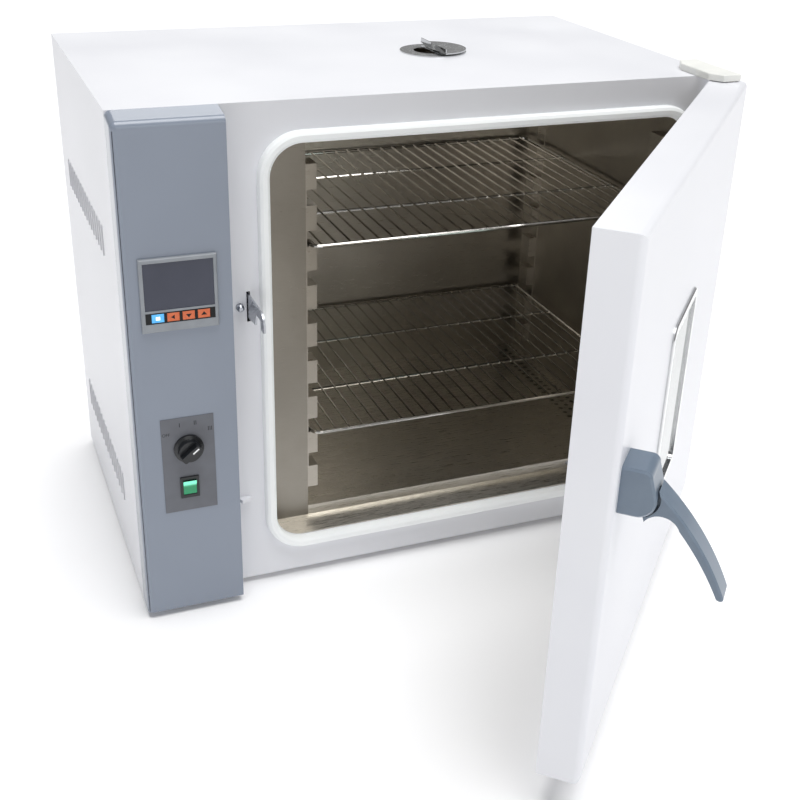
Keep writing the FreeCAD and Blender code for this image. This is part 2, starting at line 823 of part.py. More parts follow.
def make_controller():
    """A panel controller: bezel, display, body and its four keys."""
    low = BOTTOM + S.controller_low
    start = LEFT + S.controller_start
    front = FACIA_FRONT - S.controller_proud
    bezel = new_body("controller_bezel")
    side_x = (start, start + S.controller_side)
    side_z = (low, low + S.controller_side)
    block = box(bezel, "Frame", side_x, (front, FACIA_FRONT), side_z)

    def front_rim(middle, _run, _edge):
        return near(middle.y, front)

    dress(bezel, "Chamfer", "Rim", block, S.controller_proud / 4, front_rim)
    screen_x = (start + S.screen_margin, start + S.controller_side - S.screen_margin)
    screen_z = (low + S.screen_low, low + S.screen_low + S.screen_height)
    cut_box(bezel, "Window", screen_x, (front, FACIA_FRONT), screen_z)
    gap = S.key_clearance
    key_x = start + S.key_start
    key_z = (low + S.key_low, low + S.key_low + S.key_height)
    hole = cut_box(
        bezel, "KeyHole", (key_x - gap, key_x + S.key_width + gap), (front, FACIA_FRONT),
        (key_z[0] - gap, key_z[1] + gap),
    )
    row(bezel, "KeyHoles", [hole], "X", S.key_pitch, size(4))

    screen = new_body("controller_screen")
    box(screen, "Pane", screen_x, (front + S.controller_proud / 4, FACIA_FRONT), screen_z)
    inner = new_body("controller_body")
    inner_y = (FACIA_FRONT, FACIA_FRONT + S.controller_length)
    box(inner, "Case", CONTROLLER_HOLE_X, inner_y, CONTROLLER_HOLE_Z)

    for place, name in enumerate(("key_set", "key_shift", "key_down", "key_up")):
        key = new_body(name)
        x = key_x + S.key_pitch * place
        cap = box(
            key, "Cap", (x, x + S.key_width),
            (front - S.key_proud, FACIA_FRONT - S.key_travel - S.key_clearance), key_z,
        )

        def key_corner(middle, _run, _edge):
            return near(middle.y, front - S.key_proud)

        dress(key, "Fillet", "SoftEdge", cap, S.key_proud * 0.8, key_corner)


def make_switch_plate():
    body = new_body("switch_plate")
    x = (LEFT + S.plate_start, LEFT + S.plate_start + S.plate_width)
    z = (BOTTOM + S.plate_low, BOTTOM + S.plate_low + S.plate_height)
    depth = (PLATE_FRONT, FACIA_FRONT)
    box(body, "Plate", x, depth, z)
    cut_rod(body, "ShaftHole", (KNOB_X, PLATE_FRONT, KNOB_Z), "y", S.shaft_radius * 2, S.plate_thickness)
    cut_box(body, "RockerHole", ROCKER_BODY_X, depth, ROCKER_BODY_Z)


def make_fan_switch():
    """The rotary switch behind the facia and the knob on its shaft."""
    bore = S.shaft_radius + S.pin_clearance
    behind = FACIA_FRONT + S.facia_wall
    switch = new_body("fan_switch_body")
    start = (KNOB_X, PLATE_FRONT, KNOB_Z)
    rod(switch, "Bushing", start, "y", S.shaft_radius * 2, behind - PLATE_FRONT)
    rod(switch, "Wafer", (KNOB_X, behind, KNOB_Z), "y", S.shaft_radius * 5, S.shaft_radius * 7)
    cut_rod(switch, "Bore", start, "y", bore, behind + S.shaft_radius * 5 - PLATE_FRONT)

    knob = new_body("fan_knob")
    turn = f"rotation(vector(0; 1; 0); {S.dial_angle.formula})"
    place = f"vector({KNOB_X.formula}; {(PLATE_FRONT - S.knob_gap).formula}; {KNOB_Z.formula})"
    knob.setExpression("Placement", f"placement({place}; {turn})")
    profile = new_sketch(knob, "Profile", "YZ", size(0))
    skirt = S.knob_radius
    grip = S.knob_radius * 0.8
    top = -S.knob_height
    disc = top * 0.16
    shaft_end = S.knob_gap + S.plate_thickness + S.facia_wall + S.shaft_radius * 4
    outline(profile, [
        (shaft_end, size(0)), (shaft_end, S.shaft_radius), (size(0), S.shaft_radius), (size(0), skirt),
        (disc, skirt), (disc * 1.6, grip), (top * 0.6, grip * 0.94), (top * 0.6, size(0)),
    ])
    revolve(knob, "Turned", profile, "H_Axis")
    bar = new_sketch(knob, "GripOutline", "XZ", top * 0.5)
    half = S.knob_radius * 0.24
    reach = grip * 0.92
    outline(bar, *rounded((-half, half), (-reach, reach), half * 0.6))
    pad(knob, "Grip", bar, S.knob_height * 0.5)


def make_mains_switch():
    """A rocker switch: its frame with the body behind, and the rocker on its pivot."""
    frame = new_body("rocker_frame")
    front = PLATE_FRONT - S.rocker_frame_proud
    x = (LEFT + S.rocker_start, LEFT + S.rocker_start + S.rocker_frame_width)
    z = (BOTTOM + S.rocker_low, BOTTOM + S.rocker_low + S.rocker_frame_height)
    box(frame, "Rim", x, (front, PLATE_FRONT), z)
    box(frame, "Case", ROCKER_BODY_X, (PLATE_FRONT, PLATE_FRONT + S.rocker_body), ROCKER_BODY_Z)
    gap = S.rocker_clearance
    mid_x = (x[0] + x[1]) / 2
    mid_z = (z[0] + z[1]) / 2
    half_x = S.rocker_width / 2
    half_z = S.rocker_height / 2
    well = (front, PLATE_FRONT + S.rocker_body * 0.6)
    well_x = (mid_x - half_x - gap, mid_x + half_x + gap)
    well_z = (mid_z - half_z - S.rocker_swing, mid_z + half_z + S.rocker_swing)
    cut_box(frame, "Well", well_x, well, well_z)
    pivot_y = front + S.rocker_pivot_depth
    pin = half_x + S.rocker_pin_length
    hole = S.rocker_pin_radius + S.pin_clearance
    cut_rod(frame, "PivotHole", (mid_x - pin, pivot_y, mid_z), "x", hole, pin * 2)

    rocker = new_body("power_rocker")
    side = new_sketch(rocker, "SideOutline", "YZ", mid_x - half_x)
    # the lower end stands in and the upper end is proud, as it lies when switched on
    low_y = front + S.rocker_proud * 0.2
    high_y = front - S.rocker_proud
    rear_y = pivot_y + S.rocker_back
    outline(side, [
        (rear_y, mid_z - half_z / 2), (low_y, mid_z - half_z), (front + S.rocker_tilt, mid_z),
        (high_y, mid_z + half_z), (rear_y, mid_z + half_z / 2),
    ])
    pad(rocker, "Rocker", side, S.rocker_width)
    rod(rocker, "Pivot", (mid_x - pin + gap, pivot_y, mid_z), "x", S.rocker_pin_radius, (pin - gap) * 2)


# Chamber

def make_inner_liner():
    body = new_body("inner_liner")
    outside_y = (FRONT + S.sheet, CHAMBER_BACK)
    box(body, "Outside", (CHAMBER_LEFT, CHAMBER_RIGHT), outside_y, (CHAMBER_LOW, CHAMBER_TOP))
    inside_x = (CHAMBER_LEFT + S.liner, WALL_RIGHT)
    inside_z = (CHAMBER_LOW + S.liner, CHAMBER_TOP - S.liner)
    cut_box(body, "Inside", inside_x, (FRONT + S.sheet, WALL_BACK), inside_z)
    cut_rod(body, "ShaftHole", (CHAMBER_LEFT, FAN_Y, FAN_Z), "x", S.fan_shaft_radius * 2, S.liner)
    cut_rod(body, "VentHole", (VENT_X, VENT_Y, CHAMBER_TOP - S.liner), "z", S.vent_pipe_radius, S.liner)
    cut_heater_ways(body, CHAMBER_LEFT, S.liner)


def make_sill():
    """The folded strip along the lower edge of the mouth."""
    body = new_body("sill")
    side = new_sketch(body, "SideOutline", "YZ", CHAMBER_LEFT + S.liner)
    front = FRONT + S.sheet
    rear = DUCT_FRONT - S.liner
    low = CHAMBER_LOW + S.liner
    high = low + S.sill_rise
    outline(side, [
        (front, low), (rear, high - S.liner), (rear, low), (rear + S.liner, low),
        (rear + S.liner, high), (front, low + S.liner),
    ])
    pad(body, "Strip", side, WALL_RIGHT - CHAMBER_LEFT - S.liner)


def make_left_duct_plate():
    """The folded plate in front of the fan, with the slots that air leaves by."""
    body = new_body("left_duct_plate")
    x = (CHAMBER_LEFT + S.liner, DUCT_FACE)
    z = (DUCT_LOW, CHAMBER_TOP - S.liner)
    box(body, "Flange", x, (DUCT_FRONT, DUCT_FRONT + S.liner), z)
    face = (DUCT_FACE - S.liner, DUCT_FACE)
    box(body, "Face", face, (DUCT_FRONT, WALL_BACK), (FLOOR_TOP, CHAMBER_TOP - S.liner))
    slot_y = FAN_Y - S.duct_slot_length / 2
    slot = cut_box(
        body, "Slot", face, (slot_y, slot_y + S.duct_slot_length),
        (FAN_Z + S.fan_radius, FAN_Z + S.fan_radius + S.duct_slot_height),
    )
    row(body, "Slots", [slot], "Z", S.duct_slot_pitch, S.duct_slot_count)
    cut_rod(body, "FanInlet", (DUCT_FACE - S.liner, FAN_Y, FAN_Z), "x", S.fan_radius * 0.6, S.liner)


def make_floor_plate():
    """The raised floor over the heaters, with return holes in staggered columns at the right."""
    body = new_body("floor_plate")
    x = (DUCT_FACE, WALL_RIGHT)
    z = (FLOOR_TOP - S.liner, FLOOR_TOP)
    box(body, "Plate", x, (DUCT_FRONT, WALL_BACK), z)
    box(body, "FrontFold", x, (DUCT_FRONT, DUCT_FRONT + S.liner), (DUCT_LOW, FLOOR_TOP))
    for column in range(3):
        hole_x = WALL_RIGHT - S.hole_side_margin + S.hole_column_pitch * column
        hole_y = FRONT + S.hole_start + HOLE_PITCH * (0.5 if column == 1 else 0)
        start = (hole_x, hole_y, z[0])
        hole = bar(body, f"Hole{column}", start, "z", S.hole_radius, S.liner, 8, "Subtractive")
        row(body, f"Column{column}", [hole], "Y", HOLE_PITCH, S.hole_rows)


def make_racks():
    """Four toothed posts. Each gap between teeth takes the side wire of a shelf."""
    depths = {
        "front": (DUCT_FRONT, DUCT_FRONT + S.rack_depth),
        "rear": (WALL_BACK - S.rack_back_gap - S.rack_depth, WALL_BACK - S.rack_back_gap),
    }
    for end, span_y in depths.items():
        for side in ("left", "right"):
            inward = side == "left"
            wall = DUCT_FACE if inward else WALL_RIGHT
            web = (wall, wall + S.rack_web) if inward else (wall - S.rack_web, wall)
            teeth = (wall, wall + S.rack_projection) if inward else (wall - S.rack_projection, wall)
            body = new_body(f"rack_{end}_{side}")
            low = FIRST_LEDGE - S.tooth_height
            box(body, "Web", web, span_y, (low, RACK_TOP))
            tooth = box(body, "Tooth", teeth, span_y, (low, low + S.tooth_height))
            row(body, "Teeth", [tooth], "Z", TOOTH_PITCH, S.tooth_count)


def make_shelf(label, ledge):
    """A wire shelf: a bent frame, two cross bars under it and wires from front to back, all drawn
    with flats, since there are so many."""
    body = new_body(label)
    rim = S.shelf_frame_radius
    wire = S.shelf_wire_radius
    level = FIRST_LEDGE + TOOTH_PITCH * (ledge - 1) + rim + S.shelf_clearance
    x = (DUCT_FACE + S.shelf_gap + rim, WALL_RIGHT - S.shelf_right_gap - rim)
    y = (FRONT + S.shelf_setback + rim, FRONT + S.shelf_setback + S.shelf_depth - rim)
    path = new_sketch(body, "FramePath", "XY", level)
    outline(path, *rounded(x, y, S.shelf_corner))
    profile = new_sketch(body, "FrameProfile", "YZ", x[0] + S.shelf_corner)
    outline(profile, octagon(y[0], level, rim))
    doc.recompute()
    sweep(body, "Frame", profile, path)
    for name, reach in (("FrontBar", S.shelf_cross_one), ("RearBar", S.shelf_cross_two)):
        start = (x[0], FRONT + S.shelf_setback + reach, level)
        bar(body, name, start, "x", rim * 0.8, x[1] - x[0], 8)
    first = x[0] + S.shelf_corner
    pitch = (x[1] - x[0] - S.shelf_corner * 2) / (S.shelf_wire_count - 1)
    wire_level = level + rim * 0.5
    stick = bar(body, "Wire", (first, y[0], wire_level), "y", wire, y[1] - y[0], 6)
    row(body, "Wires", [stick], "X", pitch, S.shelf_wire_count)


def make_door_gasket():
    """A hollow-looking bulb seal that runs round the mouth."""
    body = new_body("door_gasket")
    half = S.gasket_width / 2
    path = new_sketch(body, "SealPath", "XZ", FRONT)
    x = (MOUTH_X[0] - half, MOUTH_X[1] + half)
    z = (MOUTH_Z[0] - half, MOUTH_Z[1] + half)
    outline(path, *rounded(x, z, S.mouth_radius + half))
    profile = new_sketch(body, "SealProfile", "YZ", x[0] + S.mouth_radius + half)
    foot = FRONT - S.gasket_height / 3
    shoulder = FRONT - S.gasket_height * 0.8
    crown = FRONT - S.gasket_height
    outline(profile, [
        (FRONT, z[0] + half), (FRONT, z[0] - half), (foot, z[0] - half), (shoulder, z[0] - half * 0.8),
        (crown, z[0] - half * 0.35), (crown, z[0] + half * 0.35), (shoulder, z[0] + half * 0.8),
        (foot, z[0] + half),
    ])
    doc.recompute()
    sweep(body, "Seal", profile, path)


# Vent

def make_vent():
    pipe = new_body("vent_pipe")
    low = CHAMBER_TOP - S.liner
    rod(pipe, "Outside", (VENT_X, VENT_Y, low), "z", S.vent_pipe_radius, TOP - low)
    cut_rod(pipe, "Inside", (VENT_X, VENT_Y, low), "z", S.vent_pipe_radius - S.sheet, TOP - low)

    base = new_body("vent_base")
    rod(base, "Plate", (VENT_X, VENT_Y, TOP), "z", S.vent_radius, S.vent_plate)
    half = new_sketch(base, "OpeningOutline", "XY", TOP)
    reach = S.vent_opening
    flat = VENT_X - S.vent_web
    outline(half, [
        (flat, VENT_Y - reach), (flat, VENT_Y + reach), (flat - reach, VENT_Y),
    ], {1: reach, 2: reach})
    pocket(base, "Opening", half, S.vent_plate, back=True)
    pin = S.vent_gap + S.vent_plate * 3
    rod(base, "Pivot", (VENT_X, VENT_Y, TOP), "z", S.pin_radius * 0.5, pin)


def make_vent_damper():
    """The half disc that swivels over the vent holes, with its straight edge turned up."""
    body = new_body("vent_damper")
    level = TOP + S.vent_plate + S.vent_gap
    disc = new_sketch(body, "HalfOutline", "XY", level)
    reach = S.vent_radius - S.seam
    hub = S.pin_radius * 1.6
    points = [
        (VENT_X - hub, VENT_Y - hub), (VENT_X, VENT_Y - reach), (VENT_X + reach, VENT_Y),
        (VENT_X, VENT_Y + reach), (VENT_X - hub, VENT_Y + hub),
    ]
    outline(disc, points, {1: reach, 2: reach})
    pad(body, "Plate", disc, S.vent_plate)
    hole = S.pin_radius * 0.5 + S.pin_clearance
    cut_rod(body, "PivotHole", (VENT_X, VENT_Y, level), "z", hole, S.vent_plate)
    lip_x = (VENT_X, VENT_X + S.vent_plate)
    lip_z = (level, level + S.vent_lip)
    end = reach * 0.97
    box(body, "FrontLip", lip_x, (VENT_Y - end, VENT_Y - hub), lip_z)
    box(body, "RearLip", lip_x, (VENT_Y + hub, VENT_Y + end), lip_z)


# Fan, heaters and probe

def make_fan():
    """The motor on the bay wall and the drum impeller on its shaft behind the duct plate."""
    motor = new_body("fan_motor")
    foot = S.motor_foot
    rod(motor, "Can", (BAY_X - S.motor_length, FAN_Y, FAN_Z), "x", S.motor_radius, S.motor_length - foot)
    rod(motor, "Flange", (BAY_X - foot, FAN_Y, FAN_Z), "x", S.motor_radius * 1.25, foot)
    half = S.motor_length / 2
    bore = S.fan_shaft_radius + S.pin_clearance
    cut_rod(motor, "Bearing", (BAY_X - half, FAN_Y, FAN_Z), "x", bore, half)

    # modelled about its own shaft, with x along the shaft from the back plate
    fan = new_body("fan_impeller")
    start = CHAMBER_LEFT + S.liner + S.fan_side_gap
    move(fan, start, FAN_Y, FAN_Z)
    centre = (size(0), size(0), size(0))
    inner = S.fan_radius * 0.78
    rod(fan, "BackPlate", centre, "x", S.fan_radius, S.liner * 1.5)
    behind = start - BAY_X + half - S.fan_side_gap
    rod(fan, "Shaft", (-behind, size(0), size(0)), "x", S.fan_shaft_radius, behind + S.fan_depth / 2)
    rod(fan, "Hub", centre, "x", S.fan_shaft_radius * 2.5, S.fan_depth / 2)
    rim = new_sketch(fan, "RimOutline", "YZ", S.fan_depth - S.liner)
    circle(rim, 0, size(0), size(0), S.fan_radius)
    circle(rim, 1, size(0), size(0), inner)
    pad(fan, "Rim", rim, S.liner)
    blade = box(
        fan, "Blade", (size(0), S.fan_depth), centred(size(0), S.liner), (inner, S.fan_radius - S.liner),
    )
    ring = fan.newObject("PartDesign::PolarPattern", "Blades")
    ring.Originals = [blade]
    ring.Axis = (axis_of(fan, "X"), [""])
    ring.Angle = 360
    ring.setExpression("Occurrences", S.blade_count.formula)
    ring.Occurrences = int(S.blade_count.number)
    fan.Tip = ring


def make_heaters():
    """Two hairpin tubes under the raised floor, whose ends stand in the machine bay."""
    body = new_body("heating_elements")
    body.AllowCompound = True
    for number, (one, two) in enumerate(((0, 1), (2, 3))):
        first = HEATER_WAYS[one]
        last = HEATER_WAYS[two]
        bend = (last - first) / 2
        start = CHAMBER_LEFT - S.heater_tail
        end = WALL_RIGHT - S.heater_end_gap - bend
        path = new_sketch(body, f"TubePath{number}", "XY", HEATER_Z)
        points = [(start, first), (end, first), (end + bend, first + bend), (end, last), (start, last)]
        outline(path, points, {1: bend, 2: bend}, closed=False)
        profile = new_sketch(body, f"TubeProfile{number}", "YZ", start)
        outline(profile, octagon(first, HEATER_Z, S.heater_radius * math.cos(math.pi / 8)))
        doc.recompute()
        sweep(body, f"Tube{number}", profile, path)


def make_temperature_probe():
    body = new_body("temperature_probe")
    y = FRONT + S.probe_back
    z = CHAMBER_TOP - S.liner - S.probe_drop
    rod(body, "Sheath", (DUCT_FACE, y, z), "x", S.probe_radius, S.probe_length)
    rod(body, "Nut", (DUCT_FACE, y, z), "x", S.probe_radius * 2.5, S.probe_radius * 2)


# Latch, door switch and door rest on the cabinet

def make_latch_keeper():
    """The long hook that the handle's cam pulls on, with its foot on the bay wall."""
    body = new_body("latch_keeper")
    side = new_sketch(body, "HookOutline", "YZ", KEEPER_X - S.keeper_thickness / 2)
    tail = FRONT + S.keeper_tail
    nose = FRONT - S.keeper_reach
    back_of_finger = nose + S.keeper_finger
    throat = FRONT - S.keeper_throat
    top = BOTTOM + S.keeper_top
    bar = BOTTOM + S.keeper_bar
    low = BOTTOM + S.keeper_finger_low
    root = BOTTOM + S.keeper_root
    curve = S.keeper_nose_radius
    tip = S.keeper_thickness
    points = [
        (tail, root), (throat, root + S.keeper_taper), (throat - S.keeper_taper, bar),
        (back_of_finger, bar), (back_of_finger, low), (nose + tip, low), (nose, low + tip),
        (nose, top - curve), (nose + curve, top), (tail, top),
    ]
    outline(side, points, {5: -tip, 7: -curve})
    pad(body, "Hook", side, S.keeper_thickness)
    foot_y = (FRONT + S.sheet + S.keeper_thickness, tail)
    box(body, "Foot", (KEEPER_X, BAY_X), foot_y, (root, top))


def make_door_switch():
    housing = new_body("door_switch_body")
    half = S.plunger_radius * 1.8
    behind = FRONT + S.sheet
    depth = (behind, behind + S.plunger_stroke + S.plunger_radius * 4)
    box(housing, "Case", centred(PLUNGER_X, half * 2), depth, centred(PLUNGER_Z, half * 2))
    bore = S.plunger_radius + S.pin_clearance
    deep = S.plunger_stroke + S.plunger_radius * 3
    cut_rod(housing, "Bore", (PLUNGER_X, behind, PLUNGER_Z), "y", bore, deep)

    plunger = new_body("door_switch_plunger")
    start = FRONT - S.plunger_reach
    length = S.plunger_reach + S.sheet + deep - S.plunger_stroke - S.seam
    stem = rod(plunger, "Stem", (PLUNGER_X, start, PLUNGER_Z), "y", S.plunger_radius, length)
    doc.recompute()
    number = next(
        i for i, edge in enumerate(stem.Shape.Edges, start=1)
        if near(edge.CenterOfMass.y, start) and edge.Length > S.plunger_radius.number
    )
    nose = plunger.newObject("PartDesign::Chamfer", "Nose")
    nose.Base = (stem, [f"Edge{number}"])
    bind(nose, "Size", S.plunger_radius * 0.5)


def make_door_rest():
    """The small ledge that the free edge of the door runs onto."""
    body = new_body("door_rest")
    top = BOTTOM + S.rest_level
    plan = new_sketch(body, "PlanOutline", "XY", top - S.rest_height)
    x = LEFT + S.rest_across
    outline(plan, [
        (x, FRONT), (x + S.rest_nose, FRONT - S.rest_reach),
        (x + S.rest_width, FRONT - S.rest_reach * 0.55), (x + S.rest_width, FRONT),
    ])
    pad(body, "Ledge", plan, S.rest_height)


# Hinges

def make_top_hinge():
    plate = new_body("top_hinge_bracket")
    x = (HINGE_X - S.bracket_width / 2, HINGE_X + S.bracket_width / 2 - S.seam)
    y = (HINGE_Y - S.bush_radius, FRONT + S.bracket_hold)
    z = (TOP, TOP + S.hinge_plate)
    box(plate, "Plate", x, y, z)
    cut_rod(plate, "PinHole", (HINGE_X, HINGE_Y, TOP), "z", S.pin_radius, S.hinge_plate)

    cap = new_body("hinge_cap")
    plan = new_sketch(cap, "PlanOutline", "XY", TOP + S.seam)
    left = HINGE_X - S.cap_reach
    right = RIGHT + S.cap_overhang
    front = y[0] - S.cap_wall
    back = FRONT + S.cap_back
    taper = S.cap_taper
    outline(plan, [
        (right, front), (right, back), (left + taper, back), (left, back - taper * 1.8),
        (left, front + taper * 1.5), (left + taper, front),
    ])
    slab = pad(cap, "Slab", plan, S.cap_height - S.seam)

    def upper_rim(middle, _run, _edge):
        return near(middle.z, TOP + S.cap_height)

    dress(cap, "Chamfer", "Rim", slab, S.cap_wall * 0.6, upper_rim)
    gap = S.seam
    room = (TOP + S.seam, TOP + S.hinge_plate + gap)
    cut_box(cap, "PlateRoom", (x[0] - gap, x[1] + gap), (y[0] - gap, y[1] + gap), room)


def make_bottom_hinge():
    bracket = new_body("bottom_hinge_bracket")
    half = S.bracket_width / 2
    x = (HINGE_X - half, HINGE_X + half - S.seam)
    level = DOOR_LOW - S.hinge_gap
    z = (level - S.hinge_plate, level)
    box(bracket, "Plate", x, (HINGE_Y - S.bush_radius, FRONT), z)
    box(bracket, "Flange", x, (FRONT - S.hinge_plate, FRONT), (BOTTOM + S.hinge_plate, level))
    cut_rod(bracket, "PinHole", (HINGE_X, HINGE_Y, z[0]), "z", S.pin_radius, S.hinge_plate)


def make_hinge_pins():
    """The pins that the door turns on, both on one line; the lower one has a shoulder."""
    body = new_body("hinge_pins")
    body.AllowCompound = True
    upper = S.bush_length + S.door_top_gap + S.hinge_plate - S.seam
    rod(body, "UpperPin", (HINGE_X, HINGE_Y, TOP + S.hinge_plate - upper), "z", S.pin_radius, upper)
    level = DOOR_LOW - S.hinge_gap
    lower = S.hinge_plate + S.hinge_gap + S.bush_length - S.seam
    rod(body, "LowerPin", (HINGE_X, HINGE_Y, level - S.hinge_plate), "z", S.pin_radius, lower)
    rod(body, "Shoulder", (HINGE_X, HINGE_Y, level), "z", S.pin_radius * 1.5, S.hinge_gap - S.seam)


# Door, in door coordinates

def window_outline(sketch, grow):
    """The window opening, grown by a margin."""
    middle = (DOOR_LEFT + DOOR_RIGHT) / 2 + S.window_offset
    x = centred(middle, S.window_width - S.window_trim * 2 + grow * 2)
    low = BOTTOM + S.window_low + S.window_trim - grow
    high = BOTTOM + S.window_low + S.window_height - S.window_trim + grow
    return outline(sketch, *rounded(x, (low, high), S.window_radius - S.window_trim + grow))


def cut_window(body, y, grow):
    """Cuts the window way between two levels of the door."""
    way = new_sketch(body, "WindowOutline", "XZ", y[0])
    window_outline(way, grow)
    return pocket(body, "WindowWay", way, y[1] - y[0])


LATCH_X = DOOR_LEFT + S.latch_inset
SLOT_X = centred(LATCH_X, S.slot_width)
SLOT_Z = (BOTTOM + S.slot_low, BOTTOM + S.slot_high)
HANDLE_X = (DOOR_LEFT + S.handle_inset, DOOR_LEFT + S.handle_inset + S.handle_width)
CLAW_ROOM_X = (HANDLE_X[0] + S.handle_wall, HANDLE_X[1] - S.claw_room_start)
HANDLE_MIDDLE = (HANDLE_X[0] + HANDLE_X[1]) / 2
PIVOT_Y = DOOR_OUTER - S.pivot_out
PIVOT_Z = BOTTOM + S.pivot_level
HANDLE_LOW = PIVOT_Z - S.nose_radius
HANDLE_HIGH = BOTTOM + S.handle_high
CLAW_ROOM_Z = (HANDLE_LOW + S.handle_wall, HANDLE_HIGH - S.handle_wall)


def make_door_skin():
    """The outer pan: one pressed sheet with rounded outer edges, open towards the chamber."""
    body = new_door_body("door_outer_skin")
    block = box(body, "Block", (DOOR_LEFT, DOOR_RIGHT), (DOOR_OUTER, DOOR_INNER), (DOOR_LOW, DOOR_TOP))

    def outer_rim(middle, _run, _edge):
        return near(middle.y, DOOR_OUTER)

    soft = dress(body, "Fillet", "OuterEdges", block, S.door_edge_radius, outer_rim)
    doc.recompute()
    inner_face = next(
        f"Face{i}" for i, face in enumerate(soft.Shape.Faces, start=1)
        if near(face.CenterOfMass.y, DOOR_INNER)
    )
    pan = body.newObject("PartDesign::Thickness", "Pan")
    pan.Base = (soft, [inner_face])
    pan.Reversed = True
    bind(pan, "Value", S.door_skin)
    wall = (DOOR_OUTER, DOOR_OUTER + S.door_skin)
    cut_window(body, wall, S.window_sleeve)
    cut_box(body, "ClawRoom", CLAW_ROOM_X, wall, CLAW_ROOM_Z)
    for name, level in (("Top", DOOR_TOP - S.door_skin), ("Low", DOOR_LOW)):
        cut_rod(body, f"{name}BushHole", (size(0), size(0), level), "z", S.bush_radius, S.door_skin)


def make_door_inner_panel():
    body = new_door_body("door_inner_panel")
    skin = S.door_skin
    x = (DOOR_LEFT + skin, DOOR_RIGHT - skin)
    wall = (DOOR_INNER - skin, DOOR_INNER)
    box(body, "Sheet", x, wall, (DOOR_LOW + skin, DOOR_TOP - skin))
    cut_window(body, wall, S.window_sleeve)
    cut_box(body, "LatchSlot", SLOT_X, wall, SLOT_Z)


def make_door_insulation():
    body = new_door_body("door_insulation")
    edge = S.door_edge_radius
    depth = (DOOR_OUTER + S.door_skin, DOOR_INNER - S.door_skin)
    wool_x = (DOOR_LEFT + edge, DOOR_RIGHT - edge)
    box(body, "Wool", wool_x, depth, (DOOR_LOW + edge, DOOR_TOP - edge))
    cut_window(body, depth, S.window_sleeve)
    cut_box(body, "ClawRoom", CLAW_ROOM_X, depth, CLAW_ROOM_Z)
    for name, level in (("Top", DOOR_TOP - S.bush_length), ("Low", DOOR_LOW)):
        cut_rod(body, f"{name}Bush", (size(0), size(0), level), "z", S.bush_radius, S.bush_length)


def make_door_bushes():
    body = new_door_body("door_bushes")
    body.AllowCompound = True
    bore = S.pin_radius + S.pin_clearance
    for name, level in (("Upper", DOOR_TOP - S.bush_length), ("Lower", DOOR_LOW)):
        start = (size(0), size(0), level)
        rod(body, f"{name}Bush", start, "z", S.bush_radius, S.bush_length)
        cut_rod(body, f"{name}Bore", start, "z", bore, S.bush_length)


def make_window():
    """Bright trim with a sleeve through the door, and a glass at each face."""
    trim = new_door_body("window_frame")
    front = DOOR_OUTER - S.window_trim_height
    ring = new_sketch(trim, "TrimOutline", "XZ", DOOR_OUTER)
    window_outline(ring, S.window_trim)
    block = pad(trim, "Trim", ring, S.window_trim_height)

    def front_rim(middle, _run, _edge):
        return near(middle.y, front)

    dress(trim, "Chamfer", "TrimRim", block, S.window_trim_height * 0.4, front_rim)
    sleeve = new_sketch(trim, "SleeveOutline", "XZ", DOOR_OUTER)
    window_outline(sleeve, S.window_sleeve)
    pad(trim, "Sleeve", sleeve, S.door_thickness, back=True)
    way = new_sketch(trim, "WayOutline", "XZ", front)
    window_outline(way, size(0))
    pocket(trim, "Way", way, S.window_trim_height + S.door_thickness)

    for name, level in (("outer_glass", DOOR_OUTER + S.glass), ("inner_glass", DOOR_INNER)):
        pane = new_door_body(name)
        edge = new_sketch(pane, "PaneOutline", "XZ", level)
        window_outline(edge, size(0))
        pad(pane, "Pane", edge, S.glass)


def out(distance):
    """The level of a point that stands out from the face of the door."""
    return DOOR_OUTER - distance


def make_handle_base():
    """The moulded housing of the handle: rounded top, and a nose about the lever's axle."""
    body = new_door_body("handle_base")
    side = new_sketch(body, "SideOutline", "YZ", HANDLE_X[0])
    curve = S.handle_top_radius
    nose = S.nose_radius
    angle = S.nose_angle
    start = (PIVOT_Y - nose * cosine(angle), PIVOT_Z + nose * sine(angle))
    points = [
        (DOOR_OUTER, HANDLE_LOW), (DOOR_OUTER, HANDLE_HIGH), (out(S.handle_front - curve), HANDLE_HIGH),
        (out(S.handle_front), HANDLE_HIGH - curve), start, (PIVOT_Y, HANDLE_LOW),
    ]
    outline(side, points, {2: curve, 4: nose})
    block = pad(body, "Housing", side, S.handle_width)

    def cheek_rim(middle, _run, _edge):
        on_cheek = near(middle.x, HANDLE_X[0]) or near(middle.x, HANDLE_X[1])
        return on_cheek and middle.y < DOOR_OUTER.number - 0.5

    dress(body, "Chamfer", "CheekEdges", block, S.handle_edge, cheek_rim)
    wall = S.handle_wall
    room_x = (HANDLE_X[0] + wall, HANDLE_X[1] - wall)
    cut_box(body, "Room", room_x, (out(S.handle_front - wall * 1.8), DOOR_OUTER), CLAW_ROOM_Z)
    slot = centred(HANDLE_MIDDLE, S.web_width + S.web_clearance * 2)
    cut_box(
        body, "WebSlot", slot, (out(S.pivot_out + nose * 1.3), out(S.pivot_out - S.web_slot_back)),
        (HANDLE_LOW - wall, PIVOT_Z + S.web_slot_top),
    )
    start = (HANDLE_X[0] + wall / 2, PIVOT_Y, PIVOT_Z)
    cut_rod(body, "AxleBore", start, "x", S.axle_radius, S.handle_width - wall)

    axle = new_door_body("lever_axle")
    rod(axle, "Axle", start, "x", S.axle_radius, S.handle_width - wall)


def around_pivot(radius, angle):
    """A point at a radius and an angle up from straight out, about the lever's axle."""
    angle = size(angle)
    return (PIVOT_Y - radius * cosine(angle), PIVOT_Z + radius * sine(angle))


